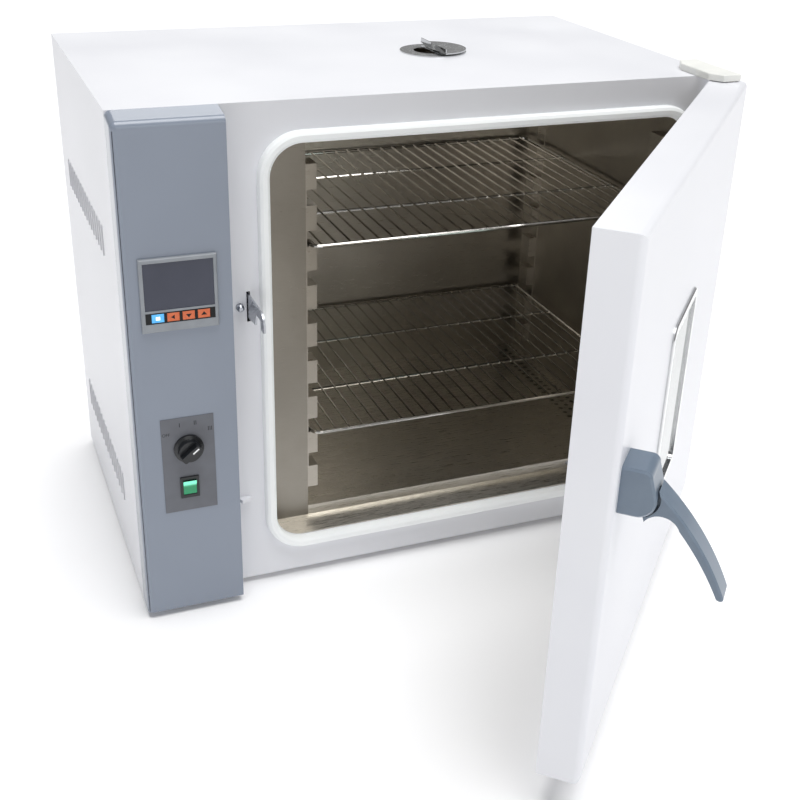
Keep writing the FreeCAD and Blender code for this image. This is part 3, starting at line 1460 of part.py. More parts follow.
def make_handle_lever():
    """The curved lever: its head wraps the nose, and a claw inside carries the cam pin."""
    body = new_door_body("handle_lever")
    x = centred(HANDLE_MIDDLE, S.lever_width)
    side = new_sketch(body, "SideOutline", "YZ", x[0])
    tip = (PIVOT_Y - S.lever_out, PIVOT_Z - S.lever_drop)
    lean = S.lever_tip_angle
    inner_tip = (tip[0] + S.lever_thickness * cosine(lean), tip[1] - S.lever_thickness * sine(lean))
    neck = (PIVOT_Y - S.neck_out, PIVOT_Z - S.neck_drop)
    wing = around_pivot(S.head_radius, -S.wing_angle)
    wing_end = around_pivot(S.head_radius + S.wing_thickness, -S.wing_angle)
    head = around_pivot(S.head_radius, S.head_angle)
    crown = around_pivot(S.crown_radius, S.crown_angle)
    points = [wing, wing_end, neck, inner_tip, tip, crown, head]
    arcs = {
        1: S.underside_radius, 2: S.lever_inner_radius, 3: -S.lever_thickness * 0.52,
        4: -S.lever_outer_radius, 6: S.head_radius,
    }
    outline(side, points, arcs)
    blade = pad(body, "Blade", side, S.lever_width)

    def outer_edges(middle, _run, edge):
        on_side = near(middle.x, x[0]) or near(middle.x, x[1])
        at_tip = middle.z < (PIVOT_Z - S.lever_drop * 0.8).number
        return on_side and (at_tip or edge.Length > (S.lever_drop * 1.2).number)

    soft = dress(body, "Chamfer", "OuterEdges", blade, S.lever_edge, outer_edges)
    body.Tip = soft
    web = new_sketch(body, "WebOutline", "YZ", HANDLE_MIDDLE - S.web_width / 2)
    reach = S.head_radius + S.wing_thickness / 2
    outline(web, [
        (PIVOT_Y, PIVOT_Z + S.axle_radius * 2), (PIVOT_Y + S.axle_radius, PIVOT_Z - S.axle_radius * 2),
        around_pivot(reach, -S.web_low_angle), around_pivot(reach, size(0)),
    ])
    pad(body, "Web", web, S.web_width)
    hub_x = (HANDLE_MIDDLE - S.hub_left, HANDLE_MIDDLE + S.hub_right)
    rod(body, "Hub", (hub_x[0], PIVOT_Y, PIVOT_Z), "x", S.hub_radius, hub_x[1] - hub_x[0])
    cam = around_pivot(S.cam_arm, S.cam_angle)
    half = S.cam_radius
    away = (half * sine(S.cam_angle), half * cosine(S.cam_angle))
    arm = new_sketch(body, "ArmOutline", "YZ", hub_x[0])
    outline(arm, [
        (PIVOT_Y - away[0], PIVOT_Z - away[1]), (cam[0] - away[0], cam[1] - away[1]),
        (cam[0] + away[0], cam[1] + away[1]), (PIVOT_Y + away[0], PIVOT_Z + away[1]),
    ])
    pad(body, "Arm", arm, S.arm_width)
    cam_start = LATCH_X - S.cam_overhang
    cam_length = hub_x[0] + S.arm_width - cam_start
    rod(body, "CamPin", (cam_start, *cam), "x", S.cam_radius, cam_length)
    bore = S.axle_radius + S.pin_clearance
    cut_rod(body, "Bore", (hub_x[0], PIVOT_Y, PIVOT_Z), "x", bore, hub_x[1] - hub_x[0])


def build_all():
    make_base_tray()
    make_top_cover()
    make_right_side_panel()
    make_left_side_panel()
    make_back_panel()
    make_front_frame()
    make_feet()
    make_bay_wall()
    make_insulation()
    make_cable_gland()
    make_control_facia()
    make_controller()
    make_switch_plate()
    make_fan_switch()
    make_mains_switch()
    make_inner_liner()
    make_sill()
    make_left_duct_plate()
    make_floor_plate()
    make_racks()
    make_shelf("upper_shelf", S.upper_ledge)
    make_shelf("lower_shelf", S.lower_ledge)
    make_door_gasket()
    make_vent()
    make_vent_damper()
    make_fan()
    make_heaters()
    make_temperature_probe()
    make_latch_keeper()
    make_door_switch()
    make_door_rest()
    make_top_hinge()
    make_bottom_hinge()
    make_hinge_pins()
    make_door_skin()
    make_door_inner_panel()
    make_door_insulation()
    make_door_bushes()
    make_window()
    make_handle_base()
    make_handle_lever()


def check_and_write():
    """Stops on any failed object, then writes one file for each piece."""
    doc.recompute()
    failed = [item.Label for item in doc.Objects if "Invalid" in item.State or "Error" in item.State]
    for body in SUBPARTS:
        if body.Shape.isNull() or not body.Shape.isValid():
            failed.append(body.Label)
    if failed:
        raise RuntimeError("These failed: " + ", ".join(failed))
    os.makedirs("parts", exist_ok=True)
    for body in SUBPARTS:
        body.Shape.exportStep(f"parts/{body.Label}.step")
        print(body.Label, len(body.Shape.Solids), round(body.Shape.Volume))


build_all()
check_and_write()
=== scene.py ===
import math

import bmesh
import bpy
from mathutils import Matrix, Vector


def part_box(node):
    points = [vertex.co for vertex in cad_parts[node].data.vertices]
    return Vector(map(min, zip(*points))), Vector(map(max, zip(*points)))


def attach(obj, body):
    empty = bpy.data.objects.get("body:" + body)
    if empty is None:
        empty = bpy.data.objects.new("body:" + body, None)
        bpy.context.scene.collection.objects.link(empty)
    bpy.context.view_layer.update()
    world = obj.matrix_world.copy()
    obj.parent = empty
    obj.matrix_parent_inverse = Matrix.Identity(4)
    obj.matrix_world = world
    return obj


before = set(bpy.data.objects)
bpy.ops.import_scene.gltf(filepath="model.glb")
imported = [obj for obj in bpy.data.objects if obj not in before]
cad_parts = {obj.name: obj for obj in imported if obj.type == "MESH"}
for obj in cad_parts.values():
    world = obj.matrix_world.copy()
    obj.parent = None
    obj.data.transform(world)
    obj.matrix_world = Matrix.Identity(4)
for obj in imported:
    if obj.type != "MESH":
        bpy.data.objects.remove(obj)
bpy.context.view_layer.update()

# Camera, light and floor

CAMERA_PLACE = Vector((-0.6134, -1.6517, 1.0362))
CAMERA_TURN = {"yaw": 0.393, "pitch": -0.460, "roll": 0.034}
LENS_MM = 53.51
LENS_SHIFT = (-0.0098, -0.0183)


def make_camera():
    """Stands where the photograph was taken from, with its lens."""
    yaw, pitch, roll = CAMERA_TURN["yaw"], CAMERA_TURN["pitch"], CAMERA_TURN["roll"]
    flat = math.cos(pitch)
    forward = Vector((math.sin(yaw) * flat, math.cos(yaw) * flat, math.sin(pitch)))
    level = Vector((math.cos(yaw), -math.sin(yaw), 0))
    upward = level.cross(forward)
    right = level * math.cos(roll) + upward * math.sin(roll)
    top = upward * math.cos(roll) - level * math.sin(roll)
    data = bpy.data.cameras.new("camera")
    data.lens = LENS_MM
    data.shift_x, data.shift_y = LENS_SHIFT
    camera = bpy.data.objects.new("camera", data)
    turn = Matrix((right, top, -forward)).transposed().to_4x4()
    camera.matrix_world = Matrix.Translation(CAMERA_PLACE) @ turn
    bpy.context.collection.objects.link(camera)
    bpy.context.scene.camera = camera


def softbox(name, place, target, size, watts):
    """A large rectangular lamp that points at a target."""
    data = bpy.data.lights.new(name, "AREA")
    data.shape = "RECTANGLE"
    data.size, data.size_y = size
    data.energy = watts
    lamp = bpy.data.objects.new(name, data)
    lamp.location = place
    lamp.rotation_euler = (Vector(target) - Vector(place)).to_track_quat("-Z", "Y").to_euler()
    bpy.context.collection.objects.link(lamp)


def overhead_light(direction, strength, spread):
    """An even light over object and floor, as from a ceiling of diffusers."""
    data = bpy.data.lights.new("ceiling", "SUN")
    data.energy = strength
    data.angle = math.radians(spread)
    lamp = bpy.data.objects.new("ceiling", data)
    lamp.rotation_euler = Vector(direction).to_track_quat("-Z", "Y").to_euler()
    bpy.context.collection.objects.link(lamp)


CEILING = {"direction": (-0.08, 0.1, -1), "strength": 2.7, "spread": 46}
SKY_STRENGTH = 0.28

# Each lamp's place, target and size in metres, and its watts. The last hangs inside the mouth's upper edge.
LAMPS = {
    "lamp_front": ((0.1, -3.4, 1.5), (0.1, 0, 0.3), (1.6, 1.6), 11),
    "lamp_behind": ((0.9, 2.6, 2.4), (0.1, -0.2, 0.6), (2.4, 1.0), 16),
    "lamp_chamber": ((0.02, -0.19, 0.63), (0.12, 0.1, 0.1), (0.4, 0.05), 0.5),
}


def light_studio():
    """Even light from above, a soft lamp before and behind the oven, and a small one in the chamber."""
    overhead_light(**CEILING)
    for name, (place, target, size, watts) in LAMPS.items():
        softbox(name, place, target, size, watts)
    world = bpy.data.worlds.new("studio")
    world.use_nodes = True
    sky = world.node_tree.nodes["Background"]
    sky.inputs["Color"].default_value = (1, 1, 1, 1)
    sky.inputs["Strength"].default_value = SKY_STRENGTH
    bpy.context.scene.world = world
    bpy.context.scene.view_settings.view_transform = "Standard"


# Materials

def linear(code):
    """An sRGB hex colour as the linear colour that shaders take."""
    parts = [int(code[i:i + 2], 16) / 255 for i in (1, 3, 5)]
    return (*[p / 12.92 if p <= 0.04045 else ((p + 0.055) / 1.055) ** 2.4 for p in parts], 1)


def add(tree, kind, values, **settings):
    """Adds a node. A value that is another node's socket is linked, any other is set."""
    made = tree.nodes.new(f"ShaderNode{kind}")
    for name, value in settings.items():
        setattr(made, name, value)
    for name, value in values.items():
        if isinstance(value, bpy.types.NodeSocket):
            tree.links.new(value, made.inputs[name])
        else:
            made.inputs[name].default_value = value
    return made


def material(name, code, values):
    """A material with its shader; code is its hex colour."""
    made = bpy.data.materials.new(name)
    made.use_nodes = True
    shader = made.node_tree.nodes["Principled BSDF"]
    shader.inputs["Base Color"].default_value = linear(code)
    for socket, value in values.items():
        shader.inputs[socket].default_value = value
    made.diffuse_color = linear(code)
    return made, made.node_tree, shader


def noise(tree, per_mm, stretch=(1, 1, 1), detail=3.0):
    """Noise in the piece's own coordinates; per_mm is the size of a grain in millimetres."""
    place = add(tree, "TexCoord", {})
    scaled = add(tree, "Mapping", {"Vector": place.outputs["Object"], "Scale": stretch})
    values = {"Vector": scaled.outputs["Vector"], "Scale": 1000 / per_mm, "Detail": detail}
    return add(tree, "TexNoise", values)


def raise_surface(tree, shader, height, depth_mm):
    """Bumps the shader by a height pattern."""
    bump = add(tree, "Bump", {"Height": height, "Distance": depth_mm / 1000, "Strength": 1.0})
    tree.links.new(bump.outputs["Normal"], shader.inputs["Normal"])


# The part of a noise's range that a finish is spread over
PATTERN_LOW = 0.3
PATTERN_HIGH = 0.7


def vary(tree, shader, socket, pattern, low, high):
    """Lets a number of the shader follow a pattern between two values."""
    span = {"From Min": PATTERN_LOW, "From Max": PATTERN_HIGH, "To Min": low, "To Max": high}
    spread = add(tree, "MapRange", {"Value": pattern, **span})
    tree.links.new(spread.outputs["Result"], shader.inputs[socket])


def tint(tree, shader, pattern, low, high):
    """Lets the colour follow a pattern between two hex colours."""
    ramp = add(tree, "ValToRGB", {"Fac": pattern})
    ramp.color_ramp.elements[0].position = PATTERN_LOW
    ramp.color_ramp.elements[1].position = PATTERN_HIGH
    ramp.color_ramp.elements[0].color = linear(low)
    ramp.color_ramp.elements[1].color = linear(high)
    tree.links.new(ramp.outputs["Color"], shader.inputs["Base Color"])


def make_powder_coat(name, dark, light, roughness, grain_mm, peel_mm, specular, coat):
    """Baked powder on steel sheet: even colour, soft gloss, and the slight ripple of orange peel."""
    made, tree, shader = material(name, light, {"Specular IOR Level": specular, "Coat Weight": coat})
    shader.inputs["Coat Roughness"].default_value = 0.15
    peel = noise(tree, grain_mm, detail=2.0)
    raise_surface(tree, shader, peel.outputs["Fac"], peel_mm)
    broad = noise(tree, 190, detail=2.0)
    tint(tree, shader, broad.outputs["Fac"], dark, light)
    vary(tree, shader, "Roughness", broad.outputs["Fac"], roughness * 0.9, roughness * 1.12)
    return made


def make_brushed_steel(name, dark, light, roughness, stretch, line_mm=0.9):
    """Brushed stainless sheet: fine straight scratches that catch the light in streaks."""
    made, tree, shader = material(name, light, {"Metallic": 1.0})
    lines = noise(tree, line_mm, stretch, detail=4.0)
    raise_surface(tree, shader, lines.outputs["Fac"], 0.012)
    vary(tree, shader, "Roughness", lines.outputs["Fac"], roughness * 0.75, roughness * 1.35)
    clouds = noise(tree, 120, detail=3.0)
    tint(tree, shader, clouds.outputs["Fac"], dark, light)
    return made


def make_bright_metal(name, code, roughness, mark_mm):
    """Polished or plated metal: mirror-like, with faint handling marks in its gloss."""
    made, tree, shader = material(name, code, {"Metallic": 1.0})
    marks = noise(tree, mark_mm, detail=4.0)
    vary(tree, shader, "Roughness", marks.outputs["Fac"], roughness * 0.7, roughness * 1.5)
    raise_surface(tree, shader, marks.outputs["Fac"], 0.004)
    return made


def make_moulded_plastic(name, dark, light, roughness, grain_mm, depth_mm, coat=0.0):
    """Injection moulded plastic with the fine spark-eroded grain of its mould."""
    made, tree, shader = material(name, light, {"IOR": 1.48, "Coat Weight": coat, "Coat Roughness": 0.08})
    grain = noise(tree, grain_mm, detail=2.0)
    raise_surface(tree, shader, grain.outputs["Fac"], depth_mm)
    broad = noise(tree, 22, detail=2.0)
    tint(tree, shader, broad.outputs["Fac"], dark, light)
    vary(tree, shader, "Roughness", broad.outputs["Fac"], roughness * 0.9, roughness * 1.12)
    return made


def make_glass(name, code, roughness):
    """Clear float glass, slightly green, with a faint haze of wiping marks."""
    made, tree, shader = material(name, code, {"IOR": 1.52, "Transmission Weight": 1.0})
    wipes = noise(tree, 30, (1, 1, 0.2), detail=3.0)
    vary(tree, shader, "Roughness", wipes.outputs["Fac"], roughness * 0.4, roughness * 1.6)
    return made


def make_silicone_with_painted_glow(name, dark, light):
    """Cast silicone: soft, slightly waxy white with a faint painted glow that brightens it, and a little dust
    on it.
    """
    # The faint white emission is a painted glow
    made, tree, shader = material(name, light, {"IOR": 1.41, "Coat Weight": 0.1, "Emission Strength": 0.1})
    shader.inputs["Emission Color"].default_value = linear("#ffffff")
    dust = noise(tree, 90, detail=3.0)
    tint(tree, shader, dust.outputs["Fac"], dark, light)
    vary(tree, shader, "Roughness", dust.outputs["Fac"], 0.35, 0.5)
    raise_surface(tree, shader, noise(tree, 0.8).outputs["Fac"], 0.006)
    return made


def make_mineral_wool(name, dark, light):
    """Pressed rock wool: matted fibres in layers."""
    made, tree, shader = material(name, light, {"Roughness": 0.95, "Sheen Weight": 0.3})
    fibres = noise(tree, 2.5, (1, 1, 4), detail=8.0)
    tint(tree, shader, fibres.outputs["Fac"], dark, light)
    raise_surface(tree, shader, fibres.outputs["Fac"], 0.8)
    return made


def make_rocker_with_painted_highlight(name, low, high):
    """Clear green acrylic; its upper end is painted lighter and glows, a painted highlight."""
    made, tree, shader = material(name, "#14875a", {"Roughness": 0.22, "IOR": 1.49, "Coat Weight": 0.4})
    place = add(tree, "TexCoord", {})
    height = add(tree, "SeparateXYZ", {"Vector": place.outputs["Object"]})
    painted_glow = add(
        tree, "MapRange",
        {"Value": height.outputs["Z"], "From Min": low, "From Max": high, "To Min": 0.0, "To Max": 1.0},
        interpolation_type="SMOOTHSTEP",
    )
    # Painted highlight: dark green low on the rocker, pale glowing mint towards its upper end
    ramp = add(tree, "ValToRGB", {"Fac": painted_glow.outputs["Result"]})
    ramp.color_ramp.elements[0].color = linear("#0c7f52")
    ramp.color_ramp.elements[1].color = linear("#7df7cc")
    tree.links.new(ramp.outputs["Color"], shader.inputs["Base Color"])
    tree.links.new(ramp.outputs["Color"], shader.inputs["Emission Color"])
    shader.inputs["Emission Strength"].default_value = 0.45
    return made


def make_key_with_painted_glow(name, dark, light, painted_glow):
    """Translucent coloured key cap with a painted glow: it gives off light in its own colour."""
    made, tree, shader = material(name, light, {"Roughness": 0.3, "IOR": 1.49, "Coat Weight": 0.3})
    shade = noise(tree, 7, detail=2.0)
    tint(tree, shader, shade.outputs["Fac"], dark, light)
    # Painted glow: the cap gives off light in its own colour
    shader.inputs["Emission Color"].default_value = linear(light)
    shader.inputs["Emission Strength"].default_value = painted_glow
    raise_surface(tree, shader, noise(tree, 0.6).outputs["Fac"], 0.01)
    return made


def make_display(name):
    """Tinted acrylic window over an unlit display: dark grey with a deep gloss."""
    made, tree, shader = material(name, "#363a4b", {"Roughness": 0.12, "IOR": 1.49, "Coat Weight": 0.1})
    haze = noise(tree, 60, detail=2.0)
    tint(tree, shader, haze.outputs["Fac"], "#323647", "#3a3e4f")
    vary(tree, shader, "Roughness", haze.outputs["Fac"], 0.1, 0.2)
    return made


def make_floor_card(name):
    """Matt white card lit a little from beneath, which keeps the shadows faint."""
    made, tree, shader = material(name, "#fbfbfc", {"Roughness": 0.9, "Emission Strength": 0.06})
    shader.inputs["Emission Color"].default_value = linear("#ffffff")
    fibre = noise(tree, 3, detail=4.0)
    raise_surface(tree, shader, fibre.outputs["Fac"], 0.02)
    return made


def make_floor():
    form = bmesh.new()
    bmesh.ops.create_grid(form, x_segments=1, y_segments=1, size=14)
    mesh = bpy.data.meshes.new("floor")
    form.to_mesh(mesh)
    form.free()
    floor = bpy.data.objects.new("floor", mesh)
    bpy.context.collection.objects.link(floor)
    mesh.materials.append(make_floor_card("studio_card"))


# The span up the rocker over which its painted highlight rises
rocker_low, rocker_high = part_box("power_rocker")
ROCKER_SPAN = rocker_high.z - rocker_low.z
HIGHLIGHT_LOW = rocker_low.z + ROCKER_SPAN * 0.55
HIGHLIGHT_HIGH = rocker_low.z + ROCKER_SPAN * 0.8

UPRIGHT = (0.05, 0.05, 1.6)
LENGTHWISE = (0.04, 1.4, 1.4)

FINISHES = {
    make_powder_coat("baked_white_enamel", "#e9eaef", "#edeef2", 0.32, 2.6, 0.012, 0.28, 0.04): (
        "base_tray", "top_cover", "right_side_panel", "left_side_panel", "back_panel", "front_frame",
        "door_outer_skin", "door_rest",
    ),
    make_powder_coat("satin_blue_grey_paint", "#848d9c", "#8a93a2", 0.3, 1.4, 0.01, 0.5, 0.5): (
        "control_facia",
    ),
    make_brushed_steel("chamber_stainless", "#9a948a", "#aba59a", 0.34, LENGTHWISE): (
        "inner_liner",
    ),
    # A lighter copy of the chamber's stainless for floor plate and sill: painted light
    make_brushed_steel("floor_stainless_painted_light", "#d3cec4", "#dfdad0", 0.3, LENGTHWISE): ("floor_plate", "sill"),
    # A darker copy of the chamber's stainless for the duct plate: painted shade
    make_brushed_steel("duct_stainless_painted_shade", "#8b867d", "#98938a", 0.36, UPRIGHT): ("left_duct_plate",),
    make_brushed_steel("upright_stainless", "#a19b91", "#b4aea4", 0.34, UPRIGHT): (
        "rack_front_left", "rack_front_right", "rack_rear_left", "rack_rear_right",
        "door_inner_panel", "vent_pipe",
    ),
    make_bright_metal("electropolished_wire", "#b6b4af", 0.11, 8): ("upper_shelf", "lower_shelf"),
    make_bright_metal("polished_stainless", "#cfd0d1", 0.16, 10): (
        "window_frame", "vent_base", "vent_damper", "lever_axle", "hinge_pins", "temperature_probe",
    ),
    make_bright_metal("zinc_plated_steel", "#b9bcc2", 0.3, 4): (
        "latch_keeper", "top_hinge_bracket", "bottom_hinge_bracket", "bay_wall", "door_switch_plunger",
    ),
    make_bright_metal("rolled_aluminium", "#c4c6c8", 0.38, 6): ("fan_impeller", "fan_motor"),
    make_bright_metal("oxidised_heater_tube", "#4a4642", 0.5, 5): ("heating_elements",),
    make_bright_metal("sintered_bronze", "#a9804a", 0.45, 1.5): ("door_bushes",),
    make_silicone_with_painted_glow("white_silicone", "#eef1f2", "#f3f6f6"): ("door_gasket",),
    make_moulded_plastic("black_rubber", "#141414", "#1c1c1c", 0.7, 1.2, 0.03): ("feet",),
    make_moulded_plastic("grey_bezel_abs", "#8f949a", "#9ba0a6", 0.4, 0.8, 0.01): ("controller_bezel",),
    make_moulded_plastic("printed_grey_plate", "#65676e", "#6d7077", 0.45, 1.0, 0.006): ("switch_plate",),
    make_moulded_plastic("black_bakelite", "#101215", "#191c20", 0.34, 1.2, 0.01, 0.2): (
        "fan_knob", "rocker_frame", "controller_body", "fan_switch_body", "cable_gland", "door_switch_body",
    ),
    # Blue-grey plastic, darkened to stand for the shade on the handle's side: painted shade
    make_moulded_plastic("blue_grey_abs_painted_shade", "#6a7888", "#717f8e", 0.34, 1.1, 0.008, 0.15): (
        "handle_base", "handle_lever",
    ),
    make_moulded_plastic("cream_abs", "#eeefea", "#f5f5f0", 0.4, 1.1, 0.012): ("hinge_cap",),
    make_glass("float_glass", "#e9f1ee", 0.03): ("outer_glass", "inner_glass"),
    make_mineral_wool("rock_wool", "#8f8566", "#b9ae8a"): ("insulation", "door_insulation"),
    make_display("tinted_display"): ("controller_screen",),
    # Both key finishes glow a little: painted glow
    make_key_with_painted_glow("blue_key_cap", "#3aa0e6", "#5cbcf6", 0.35): ("key_set",),
    make_key_with_painted_glow("orange_key_cap", "#cf5f2c", "#dc6c37", 0.06): ("key_shift", "key_down", "key_up"),
    make_rocker_with_painted_highlight("green_acrylic_painted_highlight", HIGHLIGHT_LOW, HIGHLIGHT_HIGH): ("power_rocker",),
}


def finish_nodes():
    """Gives every CAD node its finish."""
    for made, names in FINISHES.items():
        for name in names:
            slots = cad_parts[name].data.materials
            slots.clear()
            slots.append(made)


MM = 0.001

# How far the edges of the CAD nodes are rounded over, in millimetres, with the steps of the curve
ROUNDED_EDGES = {
    (0.7, 2): (
        "front_frame", "top_cover", "base_tray", "back_panel", "left_side_panel", "right_side_panel",
        "door_outer_skin", "control_facia", "window_frame", "vent_base", "latch_keeper",
    ),
    (0.5, 2): (
        "controller_bezel", "controller_screen", "switch_plate", "rocker_frame", "fan_knob", "hinge_cap",
        "key_set", "key_shift", "key_down", "key_up", "door_switch_plunger", "sill", "top_hinge_bracket",
        "bottom_hinge_bracket",
    ),
    (4.0, 4): ("handle_base",),
    (1.6, 3): ("handle_lever",),
}


def round_edges():
    """Breaks the sharp edges of sheet and mouldings, so that they catch the light."""
    for (radius, steps), names in ROUNDED_EDGES.items():
        for name in names:
            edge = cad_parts[name].modifiers.new("edges", "BEVEL")
            edge.width = radius * MM
            edge.segments = steps
            edge.limit_method = "ANGLE"
            edge.angle_limit = math.radians(28)
            edge.use_clamp_overlap = True
            edge.harden_normals = False


# Pieces


def add_piece(name, form, made, body):
    """Turns a bmesh into a finished piece that rides on a body."""
    bmesh.ops.recalc_face_normals(form, faces=form.faces)
    mesh = bpy.data.meshes.new(name)
    form.to_mesh(mesh)
    form.free()
    return finish_piece(name, mesh, made, body)


def finish_piece(name, mesh, made, body):
    mesh.materials.append(made)
    piece = bpy.data.objects.new(name, mesh)
    bpy.context.collection.objects.link(piece)
    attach(piece, body)
    return piece


def plate(form, corners, front, thickness):
    """A flat plate that faces forward: corners are (x, z) pairs, front is its level along Y."""
    points = [form.verts.new((x, front, z)) for x, z in corners]
    face = form.faces.new(points)
    solid = bmesh.ops.extrude_face_region(form, geom=[face])
    moved = [item for item in solid["geom"] if isinstance(item, bmesh.types.BMVert)]
    bmesh.ops.translate(form, verts=moved, vec=(0, thickness, 0))


def rectangle(middle_x, middle_z, width, height):
    x = width / 2
    z = height / 2
    return [
        (middle_x - x, middle_z - z), (middle_x + x, middle_z - z),
        (middle_x + x, middle_z + z), (middle_x - x, middle_z + z),
    ]


def add_print(name, words, height, x, z, front, made):
    """Printed marks, a hair's breadth proud of the plate that they are on."""
    letters = bpy.data.curves.new(name, "FONT")
    letters.body = words
    letters.size = height / 0.7
    letters.align_x = "CENTER"
    letters.align_y = "CENTER"
    letters.extrude = 0.04 * MM
    holder = bpy.data.objects.new(name, letters)
    bpy.context.collection.objects.link(holder)
    mesh = bpy.data.meshes.new_from_object(holder.evaluated_get(bpy.context.evaluated_depsgraph_get()))
    bpy.data.objects.remove(holder)
    mesh.transform(Matrix.Translation((x, front, z)) @ Matrix.Rotation(math.radians(90), 4, "X"))
    mesh.materials.clear()
    return finish_piece(name, mesh, made, "cabinet")


# Each mark's place across and up from the knob's middle, and its height, in millimetres
DIAL_MARKS = {
    "OFF": (-28.7, 23.0, 4.2),
    "I": (-10.4, 35.0, 6.2),
    "II": (10.2, 35.6, 6.2),
    "III": (29.4, 24.4, 6.2),
}


def print_dial():
    """The marks of the four settings round the knob."""
    knob = sum(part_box("fan_knob"), Vector()) / 2
    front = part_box("switch_plate")[0].y
    for words, (across, up, height) in DIAL_MARKS.items():
        x = knob.x + across * MM
        z = knob.z + up * MM
        add_print(f"mark_{words}", words, height * MM, x, z, front, BLACK_INK)


POINTER_LENGTH = 10.5 * MM
POINTER_WIDTH = 2.1 * MM
POINTER_ANGLE = math.radians(51)


def paint_pointer():
    """The white line on the knob, from near its middle towards its setting."""
    low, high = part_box("fan_knob")
    middle = (low + high) / 2
    form = bmesh.new()
    plate(form, rectangle(0, POINTER_LENGTH * 0.68, POINTER_WIDTH, POINTER_LENGTH), 0, 0.3 * MM)
    bmesh.ops.bevel(
        form, geom=[e for e in form.edges if abs((e.verts[0].co - e.verts[1].co).normalized().y) > 0.9],
        offset=POINTER_WIDTH * 0.35, segments=3, profile=0.5, affect="EDGES", material=-1,
    )
    turn = Matrix.Rotation(POINTER_ANGLE, 4, "Y")
    place = Matrix.Translation((middle.x, low.y - 0.12 * MM, middle.z))
    bmesh.ops.transform(form, matrix=place @ turn, verts=form.verts)
    add_piece("knob_pointer", form, WHITE_PAINT, "knob")


KEYS = ("key_set", "key_shift", "key_down", "key_up")
STRIP_MARGIN = (4.5 * MM, 1.7 * MM)


def frame_keys():
    """The black strip round the four keys."""
    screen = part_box("controller_screen")
    holes = [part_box(name) for name in KEYS]
    gap = 0.2 * MM
    across = [screen[0].x]
    for low, high in holes:
        across += [low.x - gap, high.x + gap]
    across.append(screen[1].x)
    up = [
        holes[0][0].z - STRIP_MARGIN[1], holes[0][0].z - gap, holes[0][1].z + gap,
        holes[0][1].z + STRIP_MARGIN[1],
    ]
    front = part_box("controller_bezel")[0].y - 0.15 * MM
    form = bmesh.new()
    for i in range(len(across) - 1):
        for j in range(len(up) - 1):
            if j == 1 and i % 2 == 1:
                continue
            corners = [(across[a], up[b]) for a, b in ((i, j), (i + 1, j), (i + 1, j + 1), (i, j + 1))]
            form.faces.new([form.verts.new((x, front, z)) for x, z in corners])
    bmesh.ops.remove_doubles(form, verts=form.verts, dist=0.01 * MM)
    body = bmesh.ops.extrude_face_region(form, geom=form.faces[:])
    moved = [item for item in body["geom"] if isinstance(item, bmesh.types.BMVert)]
    bmesh.ops.translate(form, verts=moved, vec=(0, 0.25 * MM, 0))
    add_piece("key_strip", form, BLACK_INK, "cabinet")


INK_PROUD = 0.04 * MM
INK_DEPTH = 0.1 * MM
SPOT_SIZE = (5.4 * MM, 4.6 * MM)

# The body of each key and the corners of its arrow, in millimetres from the key's middle
ARROWS = {
    "key_shift": ("key_shift_cap", [(-3.2, 0), (1.5, -3.1), (1.5, 3.1)]),
    "key_down": ("key_down_cap", [(0, -3.0), (3.7, 1.8), (-3.7, 1.8)]),
    "key_up": ("key_up_cap", [(0, 3.0), (-3.7, -1.8), (3.7, -1.8)]),
}


def print_keys():
    """The arrow on each of three keys, and the white spot of the first, which has a painted glow."""
    for key, (body, points) in ARROWS.items():
        low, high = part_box(key)
        middle = (low + high) / 2
        form = bmesh.new()
        corners = [(middle.x + x * MM, middle.z + z * MM) for x, z in points]
        plate(form, corners, low.y - INK_PROUD, INK_DEPTH)
        add_piece(f"arrow_{key}", form, BLACK_INK, body)
    low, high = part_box("key_set")
    middle = (low + high) / 2
    form = bmesh.new()
    plate(form, rectangle(middle.x, middle.z, *SPOT_SIZE), low.y - INK_PROUD, INK_DEPTH)
    add_piece("spot_key_set", form, WHITE_SPOT_PAINTED_GLOW, "key_set_cap")


# A screw's head in shares of its radius: its outline as reach and level, and its cross recess
SCREW_ROUND = 28
HEAD_OUTLINE = ((1.0, 0.0), (1.0, 0.16), (0.94, 0.34), (0.8, 0.47), (0.66, 0.52))
RECESS_REACH = 0.56
RECESS_HALF_WIDTH = 0.12
RECESS_FOOT = 0.12
RECESS_TAPER = 0.8


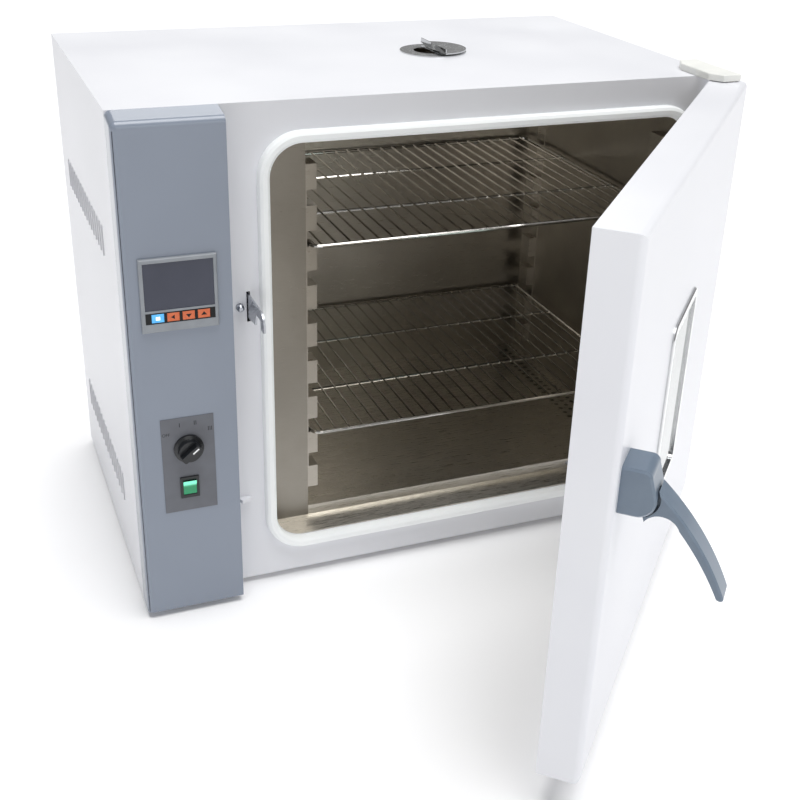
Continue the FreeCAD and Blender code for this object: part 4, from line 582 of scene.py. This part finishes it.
def add_screw(name, place, away, radius, turn):
    """A pan-head screw with a cross recess, seated on its sheet at place and facing away from it."""
    form = bmesh.new()
    rings = []
    for across, up in HEAD_OUTLINE:
        ring = []
        for i in range(SCREW_ROUND):
            angle = math.tau * i / SCREW_ROUND
            ring.append(form.verts.new((across * math.cos(angle), across * math.sin(angle), up)))
        rings.append(ring)
    for low, high in zip(rings, rings[1:]):
        for i in range(SCREW_ROUND):
            j = (i + 1) % SCREW_ROUND
            form.faces.new((low[i], low[j], high[j], high[i]))
    form.faces.new(rings[0])
    w, r = RECESS_HALF_WIDTH, RECESS_REACH
    arm = [(w, w), (w, r), (-w, r)]
    cross = []
    for _ in range(4):
        cross += arm
        arm = [(-y, x) for x, y in arm]
    rim = [form.verts.new((x, y, HEAD_OUTLINE[-1][1])) for x, y in cross]
    foot = [form.verts.new((x * RECESS_TAPER, y * RECESS_TAPER, RECESS_FOOT)) for x, y in cross]
    count = len(cross)
    loops = [form.edges.new((rim[i], rim[(i + 1) % count])) for i in range(count)]
    edge = rings[-1]
    loops += [form.edges.get((edge[i], edge[(i + 1) % SCREW_ROUND])) for i in range(SCREW_ROUND)]
    bmesh.ops.triangle_fill(form, edges=loops, use_beauty=True, use_dissolve=False)
    for face in [f for f in form.faces if all(v in rim for v in f.verts)]:
        form.faces.remove(face)
    for i in range(count):
        j = (i + 1) % count
        form.faces.new((rim[i], rim[j], foot[j], foot[i]))
    form.faces.new(foot)
    stand = Vector(away).to_track_quat("Z", "Y").to_matrix().to_4x4()
    size = Matrix.Scale(radius * MM, 4)
    turned = Matrix.Rotation(math.radians(turn), 4, "Z")
    bmesh.ops.transform(form, matrix=Matrix.Translation(place) @ stand @ turned @ size, verts=form.verts)
    add_piece(name, form, SCREW_METAL, "cabinet")


FLOOR_SCREW = {"x": 0.264, "rise": 7 * MM, "radius": 3.4, "turn": 20}
WALL_SCREW = {"x": 0.275, "z": 0.494, "radius": 3.6, "turn": 65}
BACK_SCREW = {"inset": 12 * MM, "radius": 3.6, "turn": 37}


def drive_screws():
    """One screw on the floor plate's front fold, one on the rear wall, and those round the back panel."""
    front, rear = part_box("floor_plate")
    place = Vector((FLOOR_SCREW["x"], front.y, front.z + FLOOR_SCREW["rise"]))
    add_screw("screw_floor", place, (0, -1, 0), FLOOR_SCREW["radius"], FLOOR_SCREW["turn"])
    place = Vector((WALL_SCREW["x"], rear.y, WALL_SCREW["z"]))
    add_screw("screw_rear_wall", place, (0, -1, 0), WALL_SCREW["radius"], WALL_SCREW["turn"])
    low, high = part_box("back_panel")
    inset = BACK_SCREW["inset"]
    rows = [low.z + inset, (low.z + high.z) / 2, high.z - inset]
    columns = [low.x + inset, (low.x + high.x) / 2, high.x - inset]
    spots = [(x, z) for z in rows for x in columns if (x, z) != (columns[1], rows[1])]
    for number, (x, z) in enumerate(spots, 1):
        place = Vector((x, high.y, z))
        add_screw(f"screw_back_{number}", place, (0, 1, 0), BACK_SCREW["radius"], BACK_SCREW["turn"] * number)


def make_ink(name, code, roughness):
    """Screen-printed ink: flat, slightly uneven in its gloss."""
    made, tree, shader = material(name, code, {"IOR": 1.5})
    mesh_marks = noise(tree, 0.6, detail=2.0)
    vary(tree, shader, "Roughness", mesh_marks.outputs["Fac"], roughness * 0.85, roughness * 1.15)
    return made


BLACK_INK = make_ink("black_screen_ink", "#0b0c0e", 0.65)
WHITE_PAINT = make_ink("white_filled_line", "#f6f7f8", 0.45)
SCREW_METAL = make_bright_metal("zinc_plated_screw", "#aeb1b5", 0.28, 3)
# The white spot on the blue key glows: painted glow
WHITE_SPOT_PAINTED_GLOW = make_key_with_painted_glow("white_spot_painted_glow", "#e6f4ff", "#f4faff", 0.7)

make_camera()
light_studio()
make_floor()
finish_nodes()
round_edges()
print_dial()
paint_pointer()
frame_keys()
print_keys()
drive_screws()
